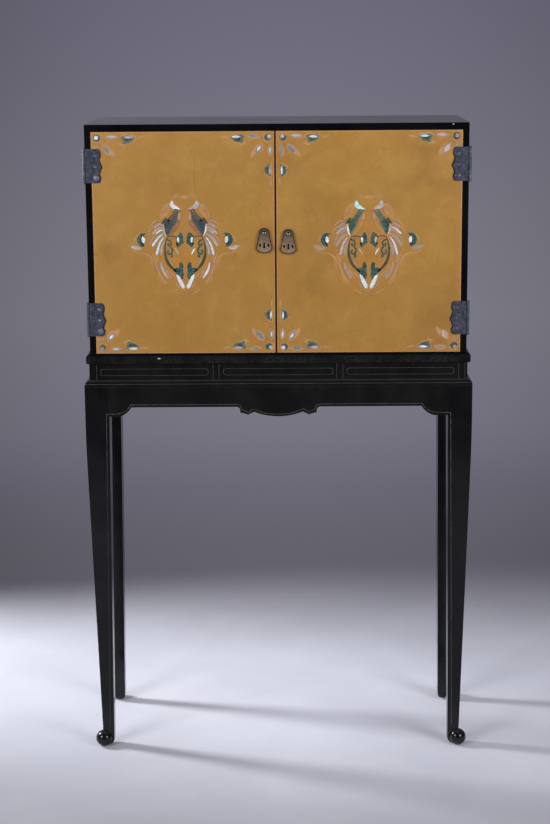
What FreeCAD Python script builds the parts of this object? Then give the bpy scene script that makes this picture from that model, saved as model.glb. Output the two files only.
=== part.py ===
import FreeCAD, Part
import math
import os

# A lacquered two-door cabinet that stands on a table frame with four tapered legs and ball feet.
# Millimetres. +Z is up, the doors face -Y, and the origin is on the floor under the middle.

V = FreeCAD.Vector
os.makedirs("parts", exist_ok=True)

# ---------------------------------------------------------------- driving dimensions
# Carcase
carcase_width = 775.0
carcase_depth = 285.0
carcase_height = 480.0
board_thickness = 12.6
top_board_thickness = 14.0
back_panel_thickness = 6.0
back_rebate = 6.0
back_panel_play = 0.5
dowel_radius = 3.0
dowel_bite = 9.0
dowel_edge_distance = 40.0

# Heights of the stand, from the floor up
leg_height = 790.0
shoulder_height = 14.0
waist_height = 34.0
stand_board_thickness = 8.0

# How far each layer of the stand stands out past the carcase, the same on all four sides
frame_overhang = 12.5
waist_overhang = 2.5
moulding_overhang = 8.2
lip_clearance = 0.3

# Legs
leg_top_width = 50.0
leg_block_height = 76.0
leg_side_inset = 18.4
leg_front_inset = 11.0
leg_foot_width = 22.5
leg_foot_depth = 25.0
taper_blend = 40.0
toe_radius = 15.0
heel_gap = 5.0
ball_radius = 17.5
ball_setback = 0.8

# Aprons
apron_thickness = 20.0
apron_height = 42.0
bracket_drop = 19.6
bracket_flat = 24.0
bracket_curve = 26.2
front_bracket_shift = 4.2
tenon_length = 10.0
tenon_thickness = 8.0
tenon_shoulder = 8.0
mortise_end_gap = 0.5
drop_half_width = 88.0
drop_ear_half_width = 79.0
lobe_half_width = 50.0
lobe_depth = 20.4
lobe_edge_depth = 10.8
ear_tip_depth = 17.0
ear_tip_half_width = 63.0

# Shoulder, waist and top moulding
shoulder_width = 50.0
waist_rail_thickness = 20.0
moulding_lip_height = 10.5
moulding_top_fall = 4.5
moulding_foot_step = 1.8
glue_block_size = 20.0
glue_block_length = 40.0
glue_block_spread = 180.0
screw_radius = 2.0
screw_head_radius = 4.0
screw_head_height = 2.5
screw_bite = 9.0
screw_spread_x = 300.0
screw_spread_y = 95.0

# Inside of the cabinet
shelf_thickness = 10.0
shelf_side_gap = 0.5
shelf_front_setback = 27.5
shelf_back_gap = 1.0
shelf_pin_radius = 2.5
shelf_pin_depth = 8.0
shelf_pin_reach = 9.0
shelf_pin_inset = 35.0
door_stop_length = 60.0
door_stop_depth = 10.0
door_stop_height = 8.0

# Doors
door_thickness = 18.0
door_proud = 0.5
door_edge_gap = 0.6
door_meeting_gap = 2.5
meeting_offset = -3.5
door_stop_gap = 0.3

# Hinges
hinge_height = 68.5
hinge_upper_drop = 82.5
hinge_lower_rise = 84.0
barrel_radius = 2.6
barrel_standoff = 2.1
hinge_pin_radius = 1.3
hinge_pin_head_radius = 2.2
hinge_pin_head_height = 1.5
pin_running_clearance = 0.05
knuckle_gap = 0.3
leaf_thickness = 1.2
leaf_barrel_gap = 0.4
leaf_reach = 35.5
leaf_recess = 5.5
leaf_lobe_recess = 2.8
leaf_hollow = 15.6
leaf_corner = 6.0
cusp_drop = 2.0
side_leaf_reach = 30.0
nail_head_radius = 2.8
nail_head_height = 1.4
nail_shank_radius = 0.8
nail_length = 8.0
nail_line = 22.5
nail_spread = 22.0

# Pulls: a bell plate that hangs on a domed stud
pull_setin_left = 23.2
pull_setin_right = 25.8
stud_rise_left = 247.2
stud_rise_right = 244.7
stud_radius = 1.5
stud_collar_radius = 3.0
stud_collar_height = 2.0
stud_head_radius = 4.8
stud_head_height = 2.6
stud_nut_radius = 4.0
stud_nut_height = 2.0
plate_thickness = 1.4
plate_back_play = 1.0
plate_head_play = 1.4
plate_hole_play = 0.7
plate_above_stud = 10.5
plate_below_stud = 41.0
plate_crown_half_width = 10.6
plate_waist_half_width = 12.8
plate_foot_half_width = 16.8
plate_foot_corner = 31.5
keyhole_fall = 21.6
keyhole_radius = 2.2
keyhole_length = 9.5
keyhole_slot_top = 1.2
keyhole_slot_foot = 2.3
blind_keyhole_depth = 3.0
teardrop_offset = 8.6
teardrop_fall = 25.0
teardrop_height = 7.5
teardrop_radius = 2.0

# Lock in the right door, its keeper and the flush bolts in the left door
lock_width = 40.0
lock_height = 44.0
lock_depth = 9.0
lock_wall = 1.5
lock_head_room = 1.0
bolt_length = 29.0
bolt_height = 10.0
bolt_thickness = 4.0
bolt_rise = 7.0
bolt_play = 0.3
bolt_throw = 8.0
bolt_setback = 0.4
mortise_play = 0.6
mortise_end_room = 2.0
keeper_thickness = 1.2
keeper_width = 12.0
keeper_height = 24.0
flush_bolt_setin = 18.0
flush_bolt_length = 45.0
flush_bolt_width = 7.0
flush_bolt_thickness = 3.5
flush_bolt_setback = 0.5
flush_knob_radius = 2.4
flush_knob_reach = 3.5
flush_knob_rise = 8.0
flush_plate_width = 18.0
flush_plate_thickness = 1.2

# ---------------------------------------------------------------- places worked out from them
half_width = carcase_width / 2
half_depth = carcase_depth / 2
waist_base = leg_height + shoulder_height
stand_board_base = waist_base + waist_height
carcase_base = stand_board_base + stand_board_thickness
carcase_top = carcase_base + carcase_height
inner_half_width = half_width - board_thickness
inner_bottom = carcase_base + board_thickness
inner_top = carcase_top - top_board_thickness

apron_bottom = leg_height - apron_height
bracket_bottom = apron_bottom - bracket_drop
frame_half_width = half_width + frame_overhang
frame_half_depth = half_depth + frame_overhang
taper_start = leg_height - leg_block_height
taper_height = taper_start - taper_blend
leg_inner_x = frame_half_width - leg_top_width
leg_inner_y = frame_half_depth - leg_top_width
ball_x = frame_half_width - leg_side_inset - ball_setback
ball_y = frame_half_depth - leg_front_inset - ball_setback

door_front = -half_depth - door_proud
door_back = door_front + door_thickness
door_outer_x = inner_half_width - door_edge_gap
door_right_edge = meeting_offset + door_meeting_gap / 2
door_left_edge = meeting_offset - door_meeting_gap / 2
door_bottom = inner_bottom + door_edge_gap
door_top = inner_top - door_edge_gap

barrel_x = half_width + barrel_standoff
barrel_y = -half_depth - barrel_standoff
hinge_heights = {"upper": carcase_top - hinge_upper_drop, "lower": carcase_base + hinge_lower_rise}
stud_heights = {"left": door_bottom + stud_rise_left, "right": door_bottom + stud_rise_right}


# ---------------------------------------------------------------- small shape tools
def box(x0, x1, y0, y1, z0, z1):
    return Part.makeBox(x1 - x0, y1 - y0, z1 - z0, V(x0, y0, z0))


def rod(radius, start, end):
    along = end.sub(start)
    return Part.makeCylinder(radius, along.Length, start, along)


# A flat face inside an outline. A step is a point, reached in a straight line,
# or a pair of points: the arc goes through the first one to the second one.
def outline_face(start, steps, place):
    edges = []
    here = start
    for step in steps + [start]:
        if isinstance(step[0], tuple):
            through, end = step
            edges.append(Part.Arc(place(*here), place(*through), place(*end)).toShape())
        else:
            end = step
            if end == here:
                continue
            edges.append(Part.makeLine(place(*here), place(*end)))
        here = end
    return Part.Face(Part.Wire(edges))


def prism(start, steps, place, along):
    return outline_face(start, steps, place).extrude(along)


# A turned piece: the outline is in (radius, height), height running along the direction from base.
def turned(start, steps, base, direction):
    face = outline_face(start, steps, lambda r, h: V(r, 0, h))
    piece = face.revolve(V(0, 0, 0), V(0, 0, 1), 360)
    piece.Placement = FreeCAD.Placement(base, FreeCAD.Rotation(V(0, 0, 1), direction))
    return piece


def mirror_x(shape):
    return shape.mirror(V(0, 0, 0), V(1, 0, 0))


def mirror_y(shape):
    return shape.mirror(V(0, 0, 0), V(0, 1, 0))


def moved(shape, x, y, z):
    copy = shape.copy()
    copy.translate(V(x, y, z))
    return copy


def save(name, *pieces):
    solids = [solid for piece in pieces for solid in piece.Solids]
    shape = solids[0] if len(solids) == 1 else Part.makeCompound(solids)
    shape.exportStep(os.path.join("parts", name + ".step"))


# The arc of a round cap, from its rim up to its crown on the axis of a turned piece.
def cap_arc(rim_radius, rim_height, rise):
    sphere_radius = (rim_radius ** 2 + rise ** 2) / (2 * rise)
    half_turn = math.asin(rim_radius / sphere_radius) / 2
    crown = rim_height + rise
    drop = sphere_radius * (1 - math.cos(half_turn))
    return ((sphere_radius * math.sin(half_turn), crown - drop), (0, crown))


# A round-headed nail whose head sits on a surface at base, with the shank behind it.
def domed_nail(base, outward):
    steps = [
        (nail_shank_radius, -nail_length),
        (nail_shank_radius, 0),
        (nail_head_radius, 0),
        cap_arc(nail_head_radius, 0, nail_head_height),
    ]
    return turned((0, -nail_length), steps, base, outward)


# ---------------------------------------------------------------- legs and ball feet
# One side of the leg as (distance from the middle, height). The outer face drops straight,
# blends into the taper by a long arc, and ends at the ball; the inner face tapers from the
# foot of the apron's bracket and turns under the ball in a rounded toe.
def leg_outline(outer, inset, foot_size, ball_centre, place, along):
    slope = inset / taper_height
    inner = outer - leg_top_width
    inner_foot = outer - inset - foot_size
    inner_slope = (inner_foot - inner) / bracket_bottom
    lean = math.atan(slope)
    blend_radius = taper_blend / math.tan(lean / 2)
    blend_mid = outer - blend_radius * (1 - math.cos(lean / 2))
    blend_mid_z = taper_start - blend_radius * math.sin(lean / 2)
    blend_end = (outer - taper_blend * math.sin(lean), taper_height - taper_blend * math.cos(lean))
    toe_x = inner_foot - inner_slope * toe_radius
    toe_turn = toe_radius * (1 - math.sqrt(0.5))
    steps = [
        (outer, leg_height),
        (outer, taper_start),
        ((blend_mid, blend_mid_z), blend_end),
        (outer - inset + slope * ball_radius, ball_radius),
        (ball_centre - heel_gap, ball_radius),
        (ball_centre - heel_gap, 0),
        (toe_x + toe_radius, 0),
        ((toe_x + toe_turn, toe_turn), (toe_x, toe_radius)),
        (inner, bracket_bottom),
    ]
    return prism((inner, leg_height), steps, place, along)


tenon_bottom = apron_bottom + tenon_shoulder
tenon_top = leg_height - tenon_shoulder
tenon_inset = (apron_thickness - tenon_thickness) / 2
mortise_depth = tenon_length + mortise_end_gap

side_view = leg_outline(
    frame_half_width, leg_side_inset, leg_foot_width, ball_x,
    lambda x, z: V(x, 0, z), V(0, frame_half_depth, 0),
)
end_view = leg_outline(
    frame_half_depth, leg_front_inset, leg_foot_depth, ball_y,
    lambda y, z: V(0, y, z), V(frame_half_width, 0, 0),
)
ball = Part.makeSphere(ball_radius, V(ball_x, ball_y, ball_radius))
mortise_along_x = box(
    leg_inner_x, leg_inner_x + mortise_depth,
    frame_half_depth - tenon_inset - tenon_thickness, frame_half_depth - tenon_inset,
    tenon_bottom, tenon_top,
)
mortise_along_y = box(
    frame_half_width - tenon_inset - tenon_thickness, frame_half_width - tenon_inset,
    leg_inner_y, leg_inner_y + mortise_depth,
    tenon_bottom, tenon_top,
)
leg = side_view.common(end_view).cut([ball, mortise_along_x, mortise_along_y])

for end, turn_y in (("front", mirror_y), ("back", None)):
    for side, turn_x in (("left", mirror_x), ("right", None)):
        for name, piece in (("leg", leg), ("ball_foot", ball)):
            if turn_x:
                piece = turn_x(piece)
            if turn_y:
                piece = turn_y(piece)
            save(name + "_" + end + "_" + side, piece)

# ---------------------------------------------------------------- aprons
# The lower edge of an apron from its middle to one leg, as (distance from the middle, height):
# a shaped drop in the middle where there is one, a straight run, and a bracket at the leg.
bracket_inner = bracket_flat + bracket_curve


def bracket_steps(half_length, sign, shift):
    end = half_length - bracket_inner
    return [
        (sign * end - shift, apron_bottom),
        (
            (sign * (end + bracket_curve * 0.32) - shift, apron_bottom - bracket_drop * 0.53),
            (sign * (half_length - bracket_flat) - shift, bracket_bottom),
        ),
        (sign * half_length, bracket_bottom),
    ]


# The same steps walked from the leg back to the middle.
def reversed_steps(start, steps):
    points = [start]
    for step in steps:
        points.append(step)
    back = []
    for index in range(len(points) - 1, 0, -1):
        before = points[index - 1]
        before_end = before[1] if isinstance(before[0], tuple) else before
        if isinstance(points[index][0], tuple):
            back.append((points[index][0], before_end))
        else:
            back.append(before_end)
    return back


def drop_steps(sign):
    lobe_edge = apron_bottom - lobe_edge_depth
    ear_tip = apron_bottom - ear_tip_depth
    ear_top = apron_bottom - (apron_bottom - lobe_edge) * 0.6
    ear_foot = ear_tip + (ear_tip_depth - lobe_edge_depth) * 0.75
    ear_middle = (drop_ear_half_width + ear_tip_half_width) / 2
    hollow_middle = (ear_tip_half_width + lobe_half_width) / 2
    return [
        ((sign * (hollow_middle - 1.2), lobe_edge - 2.0), (sign * ear_tip_half_width, ear_tip)),
        ((sign * ear_middle, ear_foot - 1.6), (sign * drop_ear_half_width, ear_foot)),
        (sign * drop_ear_half_width, ear_top),
        (
            (sign * (drop_ear_half_width + 2.6), apron_bottom - 2.0),
            (sign * drop_half_width, apron_bottom),
        ),
    ]


def apron(half_length, outer, with_drop, place, inward):
    # the front apron is cut by hand, with both brackets a little to the left
    shift = front_bracket_shift if with_drop else 0.0
    right = bracket_steps(half_length, 1, shift)
    left = bracket_steps(half_length, -1, shift)
    if with_drop:
        lobe_right = (lobe_half_width, apron_bottom - lobe_edge_depth)
        lobe_left = (-lobe_half_width, apron_bottom - lobe_edge_depth)
        right = drop_steps(1) + right
        left = drop_steps(-1) + left
        middle = [((0, apron_bottom - lobe_depth), lobe_right)]
    else:
        lobe_left = left[0]
        left = left[1:]
        middle = []
    start = (-half_length, leg_height)
    to_middle = [left[-1]] + reversed_steps(lobe_left, left)
    steps = to_middle + middle + right + [(half_length, leg_height)]
    board = prism(start, steps, lambda u, z: place(u, outer, z), inward * apron_thickness)
    tenon_outline = [
        (half_length + tenon_length, tenon_bottom),
        (half_length + tenon_length, tenon_top),
        (-half_length - tenon_length, tenon_top),
    ]
    tenon = prism(
        (-half_length - tenon_length, tenon_bottom), tenon_outline,
        lambda u, z: place(u, outer, z), inward * tenon_thickness,
    )
    tenon.translate(inward * tenon_inset)
    return board.fuse(tenon).removeSplitter()


def along_x(u, outer, z):
    return V(u, outer, z)


def along_y(u, outer, z):
    return V(outer, u, z)


save("apron_front", apron(leg_inner_x, -frame_half_depth, True, along_x, V(0, 1, 0)))
save("apron_back", apron(leg_inner_x, frame_half_depth, False, along_x, V(0, -1, 0)))
side_apron = apron(leg_inner_y, frame_half_width, False, along_y, V(-1, 0, 0))
save("apron_right", side_apron)
save("apron_left", mirror_x(side_apron))


# ---------------------------------------------------------------- shoulder, waist and top moulding
# Four mitred lengths of one section. The section is drawn as (overhang past the carcase, height).
def save_mitred_frame(name, start, steps, inner, outer):
    reach_x = half_width + outer
    reach_y = half_depth + outer
    front = prism(start, steps, lambda o, z: V(-reach_x, -half_depth - o, z), V(2 * reach_x, 0, 0))
    side = prism(start, steps, lambda o, z: V(half_width + o, -reach_y, z), V(0, 2 * reach_y, 0))
    low = front.BoundBox.ZMin - 1
    high = V(0, 0, front.BoundBox.ZLength + 2)
    far = (reach_x, -reach_y)
    near = (half_width + inner, -half_depth - inner)
    front_wedge = prism(
        (-far[0], far[1]), [far, near, (-near[0], near[1])], lambda x, y: V(x, y, low), high
    )
    side_wedge = prism(
        far, [(far[0], -far[1]), (near[0], -near[1]), near], lambda x, y: V(x, y, low), high
    )
    front_length = front.common(front_wedge)
    side_length = side.common(side_wedge)
    save(name + "_front", front_length)
    save(name + "_back", mirror_y(front_length))
    save(name + "_right", side_length)
    save(name + "_left", mirror_x(side_length))


shoulder_inner = frame_overhang - shoulder_width
shoulder_round = frame_overhang - waist_overhang
save_mitred_frame(
    "shoulder_moulding",
    (shoulder_inner, leg_height),
    [
        (frame_overhang, leg_height),
        (
            (frame_overhang - shoulder_round * 0.29, leg_height + shoulder_height * 0.71),
            (waist_overhang, waist_base),
        ),
        (shoulder_inner, waist_base),
    ],
    shoulder_inner, frame_overhang,
)

waist_inner = waist_overhang - waist_rail_thickness
save_mitred_frame(
    "waist_rail",
    (waist_inner, waist_base),
    [(waist_overhang, waist_base), (waist_overhang, stand_board_base), (waist_inner, stand_board_base)],
    waist_inner, waist_overhang,
)

# The top moulding is glued round the edge of the stand board. It rises past the board
# as a lip, and the cabinet stands inside that lip.
lip_top = carcase_base + moulding_lip_height
lip_round = moulding_overhang - lip_clearance
save_mitred_frame(
    "top_moulding",
    (waist_overhang, stand_board_base),
    [
        (moulding_overhang - moulding_foot_step, stand_board_base),
        (moulding_overhang, stand_board_base + moulding_foot_step),
        (moulding_overhang, lip_top - moulding_top_fall),
        (
            (moulding_overhang - lip_round * 0.22, lip_top - moulding_top_fall * 0.3),
            (lip_clearance, lip_top),
        ),
        (lip_clearance, carcase_base),
        (waist_overhang, carcase_base),
    ],
    lip_clearance, moulding_overhang,
)

# ---------------------------------------------------------------- stand board, screws and glue blocks
screw_places = [
    (x, y) for x in (-screw_spread_x, screw_spread_x) for y in (-screw_spread_y, screw_spread_y)
]
screw_top = carcase_base + screw_bite
screw_holes = [
    rod(screw_radius, V(x, y, stand_board_base), V(x, y, screw_top)) for x, y in screw_places
]
screw_steps = [
    (screw_head_radius, -screw_head_height),
    (screw_head_radius, 0),
    (screw_radius, 0),
    (screw_radius, screw_top - stand_board_base),
    (0, screw_top - stand_board_base),
]
fixing_screws = [
    turned((0, -screw_head_height), screw_steps, V(x, y, stand_board_base), V(0, 0, 1))
    for x, y in screw_places
]
stand_board = box(
    -half_width - waist_overhang, half_width + waist_overhang,
    -half_depth - waist_overhang, half_depth + waist_overhang,
    stand_board_base, carcase_base,
)
save("stand_board", stand_board.cut(screw_holes))
save("fixing_screws", *fixing_screws)

block_face_x = frame_half_width - apron_thickness
block_face_y = frame_half_depth - apron_thickness
block_base = leg_height - glue_block_size
glue_blocks = []
for x in (-glue_block_spread, glue_block_spread):
    front_block = box(
        x - glue_block_length / 2, x + glue_block_length / 2,
        -block_face_y, -block_face_y + glue_block_size, block_base, leg_height,
    )
    glue_blocks += [front_block, mirror_y(front_block)]
side_block = box(
    block_face_x - glue_block_size, block_face_x,
    -glue_block_length / 2, glue_block_length / 2, block_base, leg_height,
)
glue_blocks += [side_block, mirror_x(side_block)]
save("glue_blocks", *glue_blocks)

# ---------------------------------------------------------------- carcase
dowel_x = half_width - board_thickness / 2
dowel_rows = (-half_depth + dowel_edge_distance, 0.0, half_depth - dowel_edge_distance)
dowels = []
for joint in (inner_bottom, inner_top):
    for x in (-dowel_x, dowel_x):
        for y in dowel_rows:
            dowels.append(rod(dowel_radius, V(x, y, joint - dowel_bite), V(x, y, joint + dowel_bite)))
save("carcase_dowels", *dowels)

rebate_front = half_depth - back_panel_thickness
panel_room = box(
    -inner_half_width - back_rebate, inner_half_width + back_rebate,
    rebate_front, half_depth,
    inner_bottom - back_rebate, inner_top + back_rebate,
)
panel_half_width = inner_half_width + back_rebate - back_panel_play
back_panel = box(
    -panel_half_width, panel_half_width,
    rebate_front, half_depth,
    inner_bottom - back_rebate + back_panel_play, inner_top + back_rebate - back_panel_play,
)
save("back_panel", back_panel)

# Sockets in the top and bottom boards for the left door's flush bolts.
flush_bolt_x = door_left_edge - flush_bolt_setin
flush_left = flush_bolt_x - flush_bolt_width / 2
flush_right = flush_bolt_x + flush_bolt_width / 2
flush_bolt_front = door_back - flush_plate_thickness - bolt_play - flush_bolt_thickness
flush_socket = [
    flush_left - mortise_play, flush_right + mortise_play,
    flush_bolt_front - mortise_play,
    flush_bolt_front + flush_bolt_thickness + mortise_play,
]
socket_depth = bolt_throw - flush_bolt_setback - door_edge_gap + mortise_end_room
top_socket = box(*flush_socket, inner_top, inner_top + socket_depth)
bottom_socket = box(*flush_socket, inner_bottom - socket_depth, inner_bottom)

# Shelf pins stand in blind holes in the side boards.
inner_height = inner_top - inner_bottom
shelf_bases = {
    "lower": inner_bottom + (inner_height - 2 * shelf_thickness) / 3,
    "upper": inner_bottom + 2 * (inner_height - 2 * shelf_thickness) / 3 + shelf_thickness,
}
shelf_front = -half_depth + shelf_front_setback
shelf_back = rebate_front - shelf_back_gap
pin_rows = (shelf_front + shelf_pin_inset, shelf_back - shelf_pin_inset)
shelf_pins = []
for base in shelf_bases.values():
    for y in pin_rows:
        pin = rod(
            shelf_pin_radius,
            V(inner_half_width - shelf_pin_reach, y, base - shelf_pin_radius),
            V(inner_half_width + shelf_pin_depth, y, base - shelf_pin_radius),
        )
        shelf_pins += [pin, mirror_x(pin)]
save("shelf_pins", *shelf_pins)
for level, base in shelf_bases.items():
    shelf_half = inner_half_width - shelf_side_gap
    shelf = box(-shelf_half, shelf_half, shelf_front, shelf_back, base, base + shelf_thickness)
    save("shelf_" + level, shelf)

# Nails that hold the carcase leaves: one column of three on each side leaf.
side_nail_y = -half_depth + nail_line
nail_offsets = (-nail_spread - cusp_drop, -cusp_drop, nail_spread - cusp_drop)
side_nails = []
for height in hinge_heights.values():
    for offset in nail_offsets:
        place = V(half_width + leaf_thickness, side_nail_y, height + offset)
        nail = domed_nail(place, V(1, 0, 0))
        side_nails += [nail, mirror_x(nail)]
save("carcase_hinge_nails", *side_nails)

top_board = box(-half_width, half_width, -half_depth, half_depth, inner_top, carcase_top)
bottom_board = box(-half_width, half_width, -half_depth, half_depth, carcase_base, inner_bottom)
side_board = box(inner_half_width, half_width, -half_depth, half_depth, inner_bottom, inner_top)
save("carcase_top", top_board.cut([panel_room, top_socket] + dowels))
save("carcase_bottom", bottom_board.cut([panel_room, bottom_socket] + dowels + screw_holes))
side_tools = [panel_room] + dowels + shelf_pins + side_nails
save("carcase_side_right", side_board.cut(side_tools))
save("carcase_side_left", mirror_x(side_board).cut(side_tools))

stop_front = door_back + door_stop_gap
upper_stop = box(
    -door_stop_length / 2, door_stop_length / 2, stop_front, stop_front + door_stop_depth,
    inner_top - door_stop_height, inner_top,
)
lower_stop = box(
    -door_stop_length / 2, door_stop_length / 2, stop_front, stop_front + door_stop_depth,
    inner_bottom, inner_bottom + door_stop_height,
)
save("door_stops", upper_stop, lower_stop)

# ---------------------------------------------------------------- hinges
# Each hinge is drawn for the right door about height 0. Its pivot stands off the carcase's
# front corner, so the door swings right round to lie flat beside the carcase.
hinge_half = hinge_height / 2
knuckle_half = hinge_height / 6
inner_knuckle = knuckle_half - knuckle_gap / 2
outer_knuckle = knuckle_half + knuckle_gap / 2
notch = barrel_radius + leaf_barrel_gap


def knuckle(low, high):
    return rod(barrel_radius, V(barrel_x, barrel_y, low), V(barrel_x, barrel_y, high))


# Bore for the pin through one set of knuckles.
def pin_bore(clearance):
    bottom = V(barrel_x, barrel_y, -hinge_half)
    return rod(hinge_pin_radius + clearance, bottom, V(barrel_x, barrel_y, hinge_half))


# The free edge of the door leaf, from the middle cusp to the top corner or, with sign -1, the
# bottom corner: a hollow, a round lobe, and the rounded corner.
cusp_x = half_width - leaf_reach
recess_x = cusp_x + leaf_recess
lobe_x = cusp_x + leaf_lobe_recess


def free_edge(sign):
    recess_z = sign * leaf_hollow - cusp_drop
    hollow_z = sign * leaf_hollow * 0.42 - cusp_drop
    corner_z = sign * (hinge_half - leaf_corner)
    lobe_z = (recess_z + corner_z) / 2
    corner_turn = leaf_corner * (1 - math.sqrt(0.5))
    return [
        ((cusp_x + leaf_recess * 0.62, hollow_z), (recess_x, recess_z)),
        ((lobe_x, lobe_z), (lobe_x + 0.8, corner_z)),
        (
            (lobe_x + 0.8 + corner_turn, sign * (hinge_half - corner_turn)),
            (lobe_x + 0.8 + leaf_corner, sign * hinge_half),
        ),
    ]


upper_edge = free_edge(1)
lower_edge = free_edge(-1)
door_leaf_start = (barrel_x, inner_knuckle)
door_leaf_steps = (
    [(barrel_x - notch, inner_knuckle), (barrel_x - notch, hinge_half), upper_edge[-1][1]]
    + reversed_steps((cusp_x, -cusp_drop), upper_edge)
    + lower_edge
    + [(barrel_x - notch, -hinge_half), (barrel_x - notch, -inner_knuckle), (barrel_x, -inner_knuckle)]
)
door_leaf = prism(
    door_leaf_start, door_leaf_steps, lambda x, z: V(x, door_front, z), V(0, -leaf_thickness, 0)
)
door_leaf = door_leaf.fuse(knuckle(-inner_knuckle, inner_knuckle)).cut(pin_bore(pin_running_clearance))

side_leaf_back = -half_depth + side_leaf_reach
side_leaf_steps = [
    (barrel_y, hinge_half),
    (side_leaf_back - leaf_corner, hinge_half),
    (side_leaf_back, hinge_half - leaf_corner),
    (side_leaf_back, -hinge_half + leaf_corner),
    (side_leaf_back - leaf_corner, -hinge_half),
    (barrel_y, -hinge_half),
    (barrel_y, -outer_knuckle),
    (barrel_y + notch, -outer_knuckle),
    (barrel_y + notch, outer_knuckle),
]
side_leaf = prism(
    (barrel_y, outer_knuckle), side_leaf_steps, lambda y, z: V(half_width, y, z), V(leaf_thickness, 0, 0)
)
side_leaf = side_leaf.fuse([knuckle(outer_knuckle, hinge_half), knuckle(-hinge_half, -outer_knuckle)])
side_leaf = side_leaf.cut(pin_bore(0))

pin_steps = [
    (hinge_pin_head_radius, -hinge_pin_head_height),
    (hinge_pin_head_radius, 0),
    (hinge_pin_radius, 0),
    (hinge_pin_radius, hinge_height),
    (hinge_pin_head_radius, hinge_height),
    (hinge_pin_head_radius, hinge_height + hinge_pin_head_height),
    (0, hinge_height + hinge_pin_head_height),
]
hinge_pin = turned(
    (0, -hinge_pin_head_height), pin_steps, V(barrel_x, barrel_y, -hinge_half), V(0, 0, 1)
)

door_nails = []
hinge_pins = []
for level, height in hinge_heights.items():
    nails = [
        domed_nail(V(half_width - nail_line, door_front - leaf_thickness, height + offset), V(0, -1, 0))
        for offset in nail_offsets
    ]
    door_nails += nails
    pin = moved(hinge_pin, 0, 0, height)
    hinge_pins += [pin, mirror_x(pin)]
    placed_door_leaf = moved(door_leaf, 0, 0, height).cut(nails)
    placed_side_leaf = moved(side_leaf, 0, 0, height).cut(side_nails)
    save("door_hinge_leaf_right_" + level, placed_door_leaf)
    save("door_hinge_leaf_left_" + level, mirror_x(placed_door_leaf))
    save("carcase_hinge_leaf_right_" + level, placed_side_leaf)
    save("carcase_hinge_leaf_left_" + level, mirror_x(placed_side_leaf))
save("hinge_pins", *hinge_pins)
save("door_right_hinge_nails", *door_nails)
left_door_nails = [mirror_x(nail) for nail in door_nails]
save("door_left_hinge_nails", *left_door_nails)

# ---------------------------------------------------------------- pulls
# The stud goes through the door and is nutted inside. The plate hangs loose on its shank,
# between the collar and the domed head, with room on both sides so that its foot tips outward.
plate_back = door_front - stud_collar_height - plate_back_play
plate_front = plate_back - plate_thickness
stud_head_back = plate_front - plate_head_play


def pull_stud(x, z):
    shank_end = door_back + stud_nut_height
    depth = shank_end - door_front
    head_base = door_front - stud_head_back
    steps = [
        (stud_radius, -depth),
        (stud_radius, 0),
        (stud_collar_radius, 0),
        (stud_collar_radius, stud_collar_height),
        (stud_radius, stud_collar_height),
        (stud_radius, head_base),
        (stud_head_radius, head_base),
        cap_arc(stud_head_radius, head_base, stud_head_height),
    ]
    stud = turned((0, -depth), steps, V(x, door_front, z), V(0, -1, 0))
    nut = rod(stud_nut_radius, V(x, door_back, z), V(x, shank_end, z))
    return stud, nut.cut(stud)


def keyhole(x, z, y, along):
    hole = rod(keyhole_radius, V(x, y, z), V(x, y, z).add(along))
    slot = prism(
        (x - keyhole_slot_top, z),
        [
            (x + keyhole_slot_top, z),
            (x + keyhole_slot_foot, z - keyhole_length),
            (x - keyhole_slot_foot, z - keyhole_length),
        ],
        lambda u, w: V(u, y, w), along,
    )
    return hole.fuse(slot)


def teardrop(x, z, y, along):
    low = z - teardrop_height / 2
    steps = [
        (
            (x + teardrop_radius, low + teardrop_radius * 1.3),
            (x, z + teardrop_height / 2),
        ),
        (
            (x - teardrop_radius, low + teardrop_radius * 1.3),
            (x, low),
        ),
    ]
    return prism((x, low), steps, lambda u, w: V(u, y, w), along)


# The bell plate as (distance from the stud, height from the stud), from the crown to the foot.
def plate_side(sign):
    return [
        (
            (sign * plate_crown_half_width * 0.71, plate_above_stud * 0.72),
            (sign * plate_crown_half_width, plate_above_stud * 0.1),
        ),
        (
            (sign * plate_waist_half_width, -plate_foot_corner * 0.3),
            (sign * plate_foot_half_width, -plate_foot_corner),
        ),
        (
            (sign * plate_foot_half_width * 0.55, -plate_foot_corner - 7.6),
            (0, -plate_below_stud),
        ),
    ]


def pull_plate(x, z):
    crown = (0, plate_above_stud)
    steps = plate_side(1) + reversed_steps(crown, plate_side(-1))
    through = V(0, -plate_thickness, 0)
    plate = prism(crown, steps, lambda u, w: V(x + u, plate_back, z + w), through)
    hang_hole = rod(stud_radius + plate_hole_play, V(x, plate_back, z), V(x, plate_front, z))
    holes = [hang_hole, keyhole(x, z - keyhole_fall, plate_back, through)]
    for offset in (-teardrop_offset, teardrop_offset):
        holes.append(teardrop(x + offset, z - teardrop_fall, plate_back, through))
    return plate.cut(holes)


pull_places = {
    "left": meeting_offset - pull_setin_left,
    "right": meeting_offset + pull_setin_right,
}
studs = {}
for side, x in pull_places.items():
    studs[side] = pull_stud(x, stud_heights[side])
    save("pull_stud_" + side, *studs[side])
    save("pull_plate_" + side, pull_plate(x, stud_heights[side]))

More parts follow.
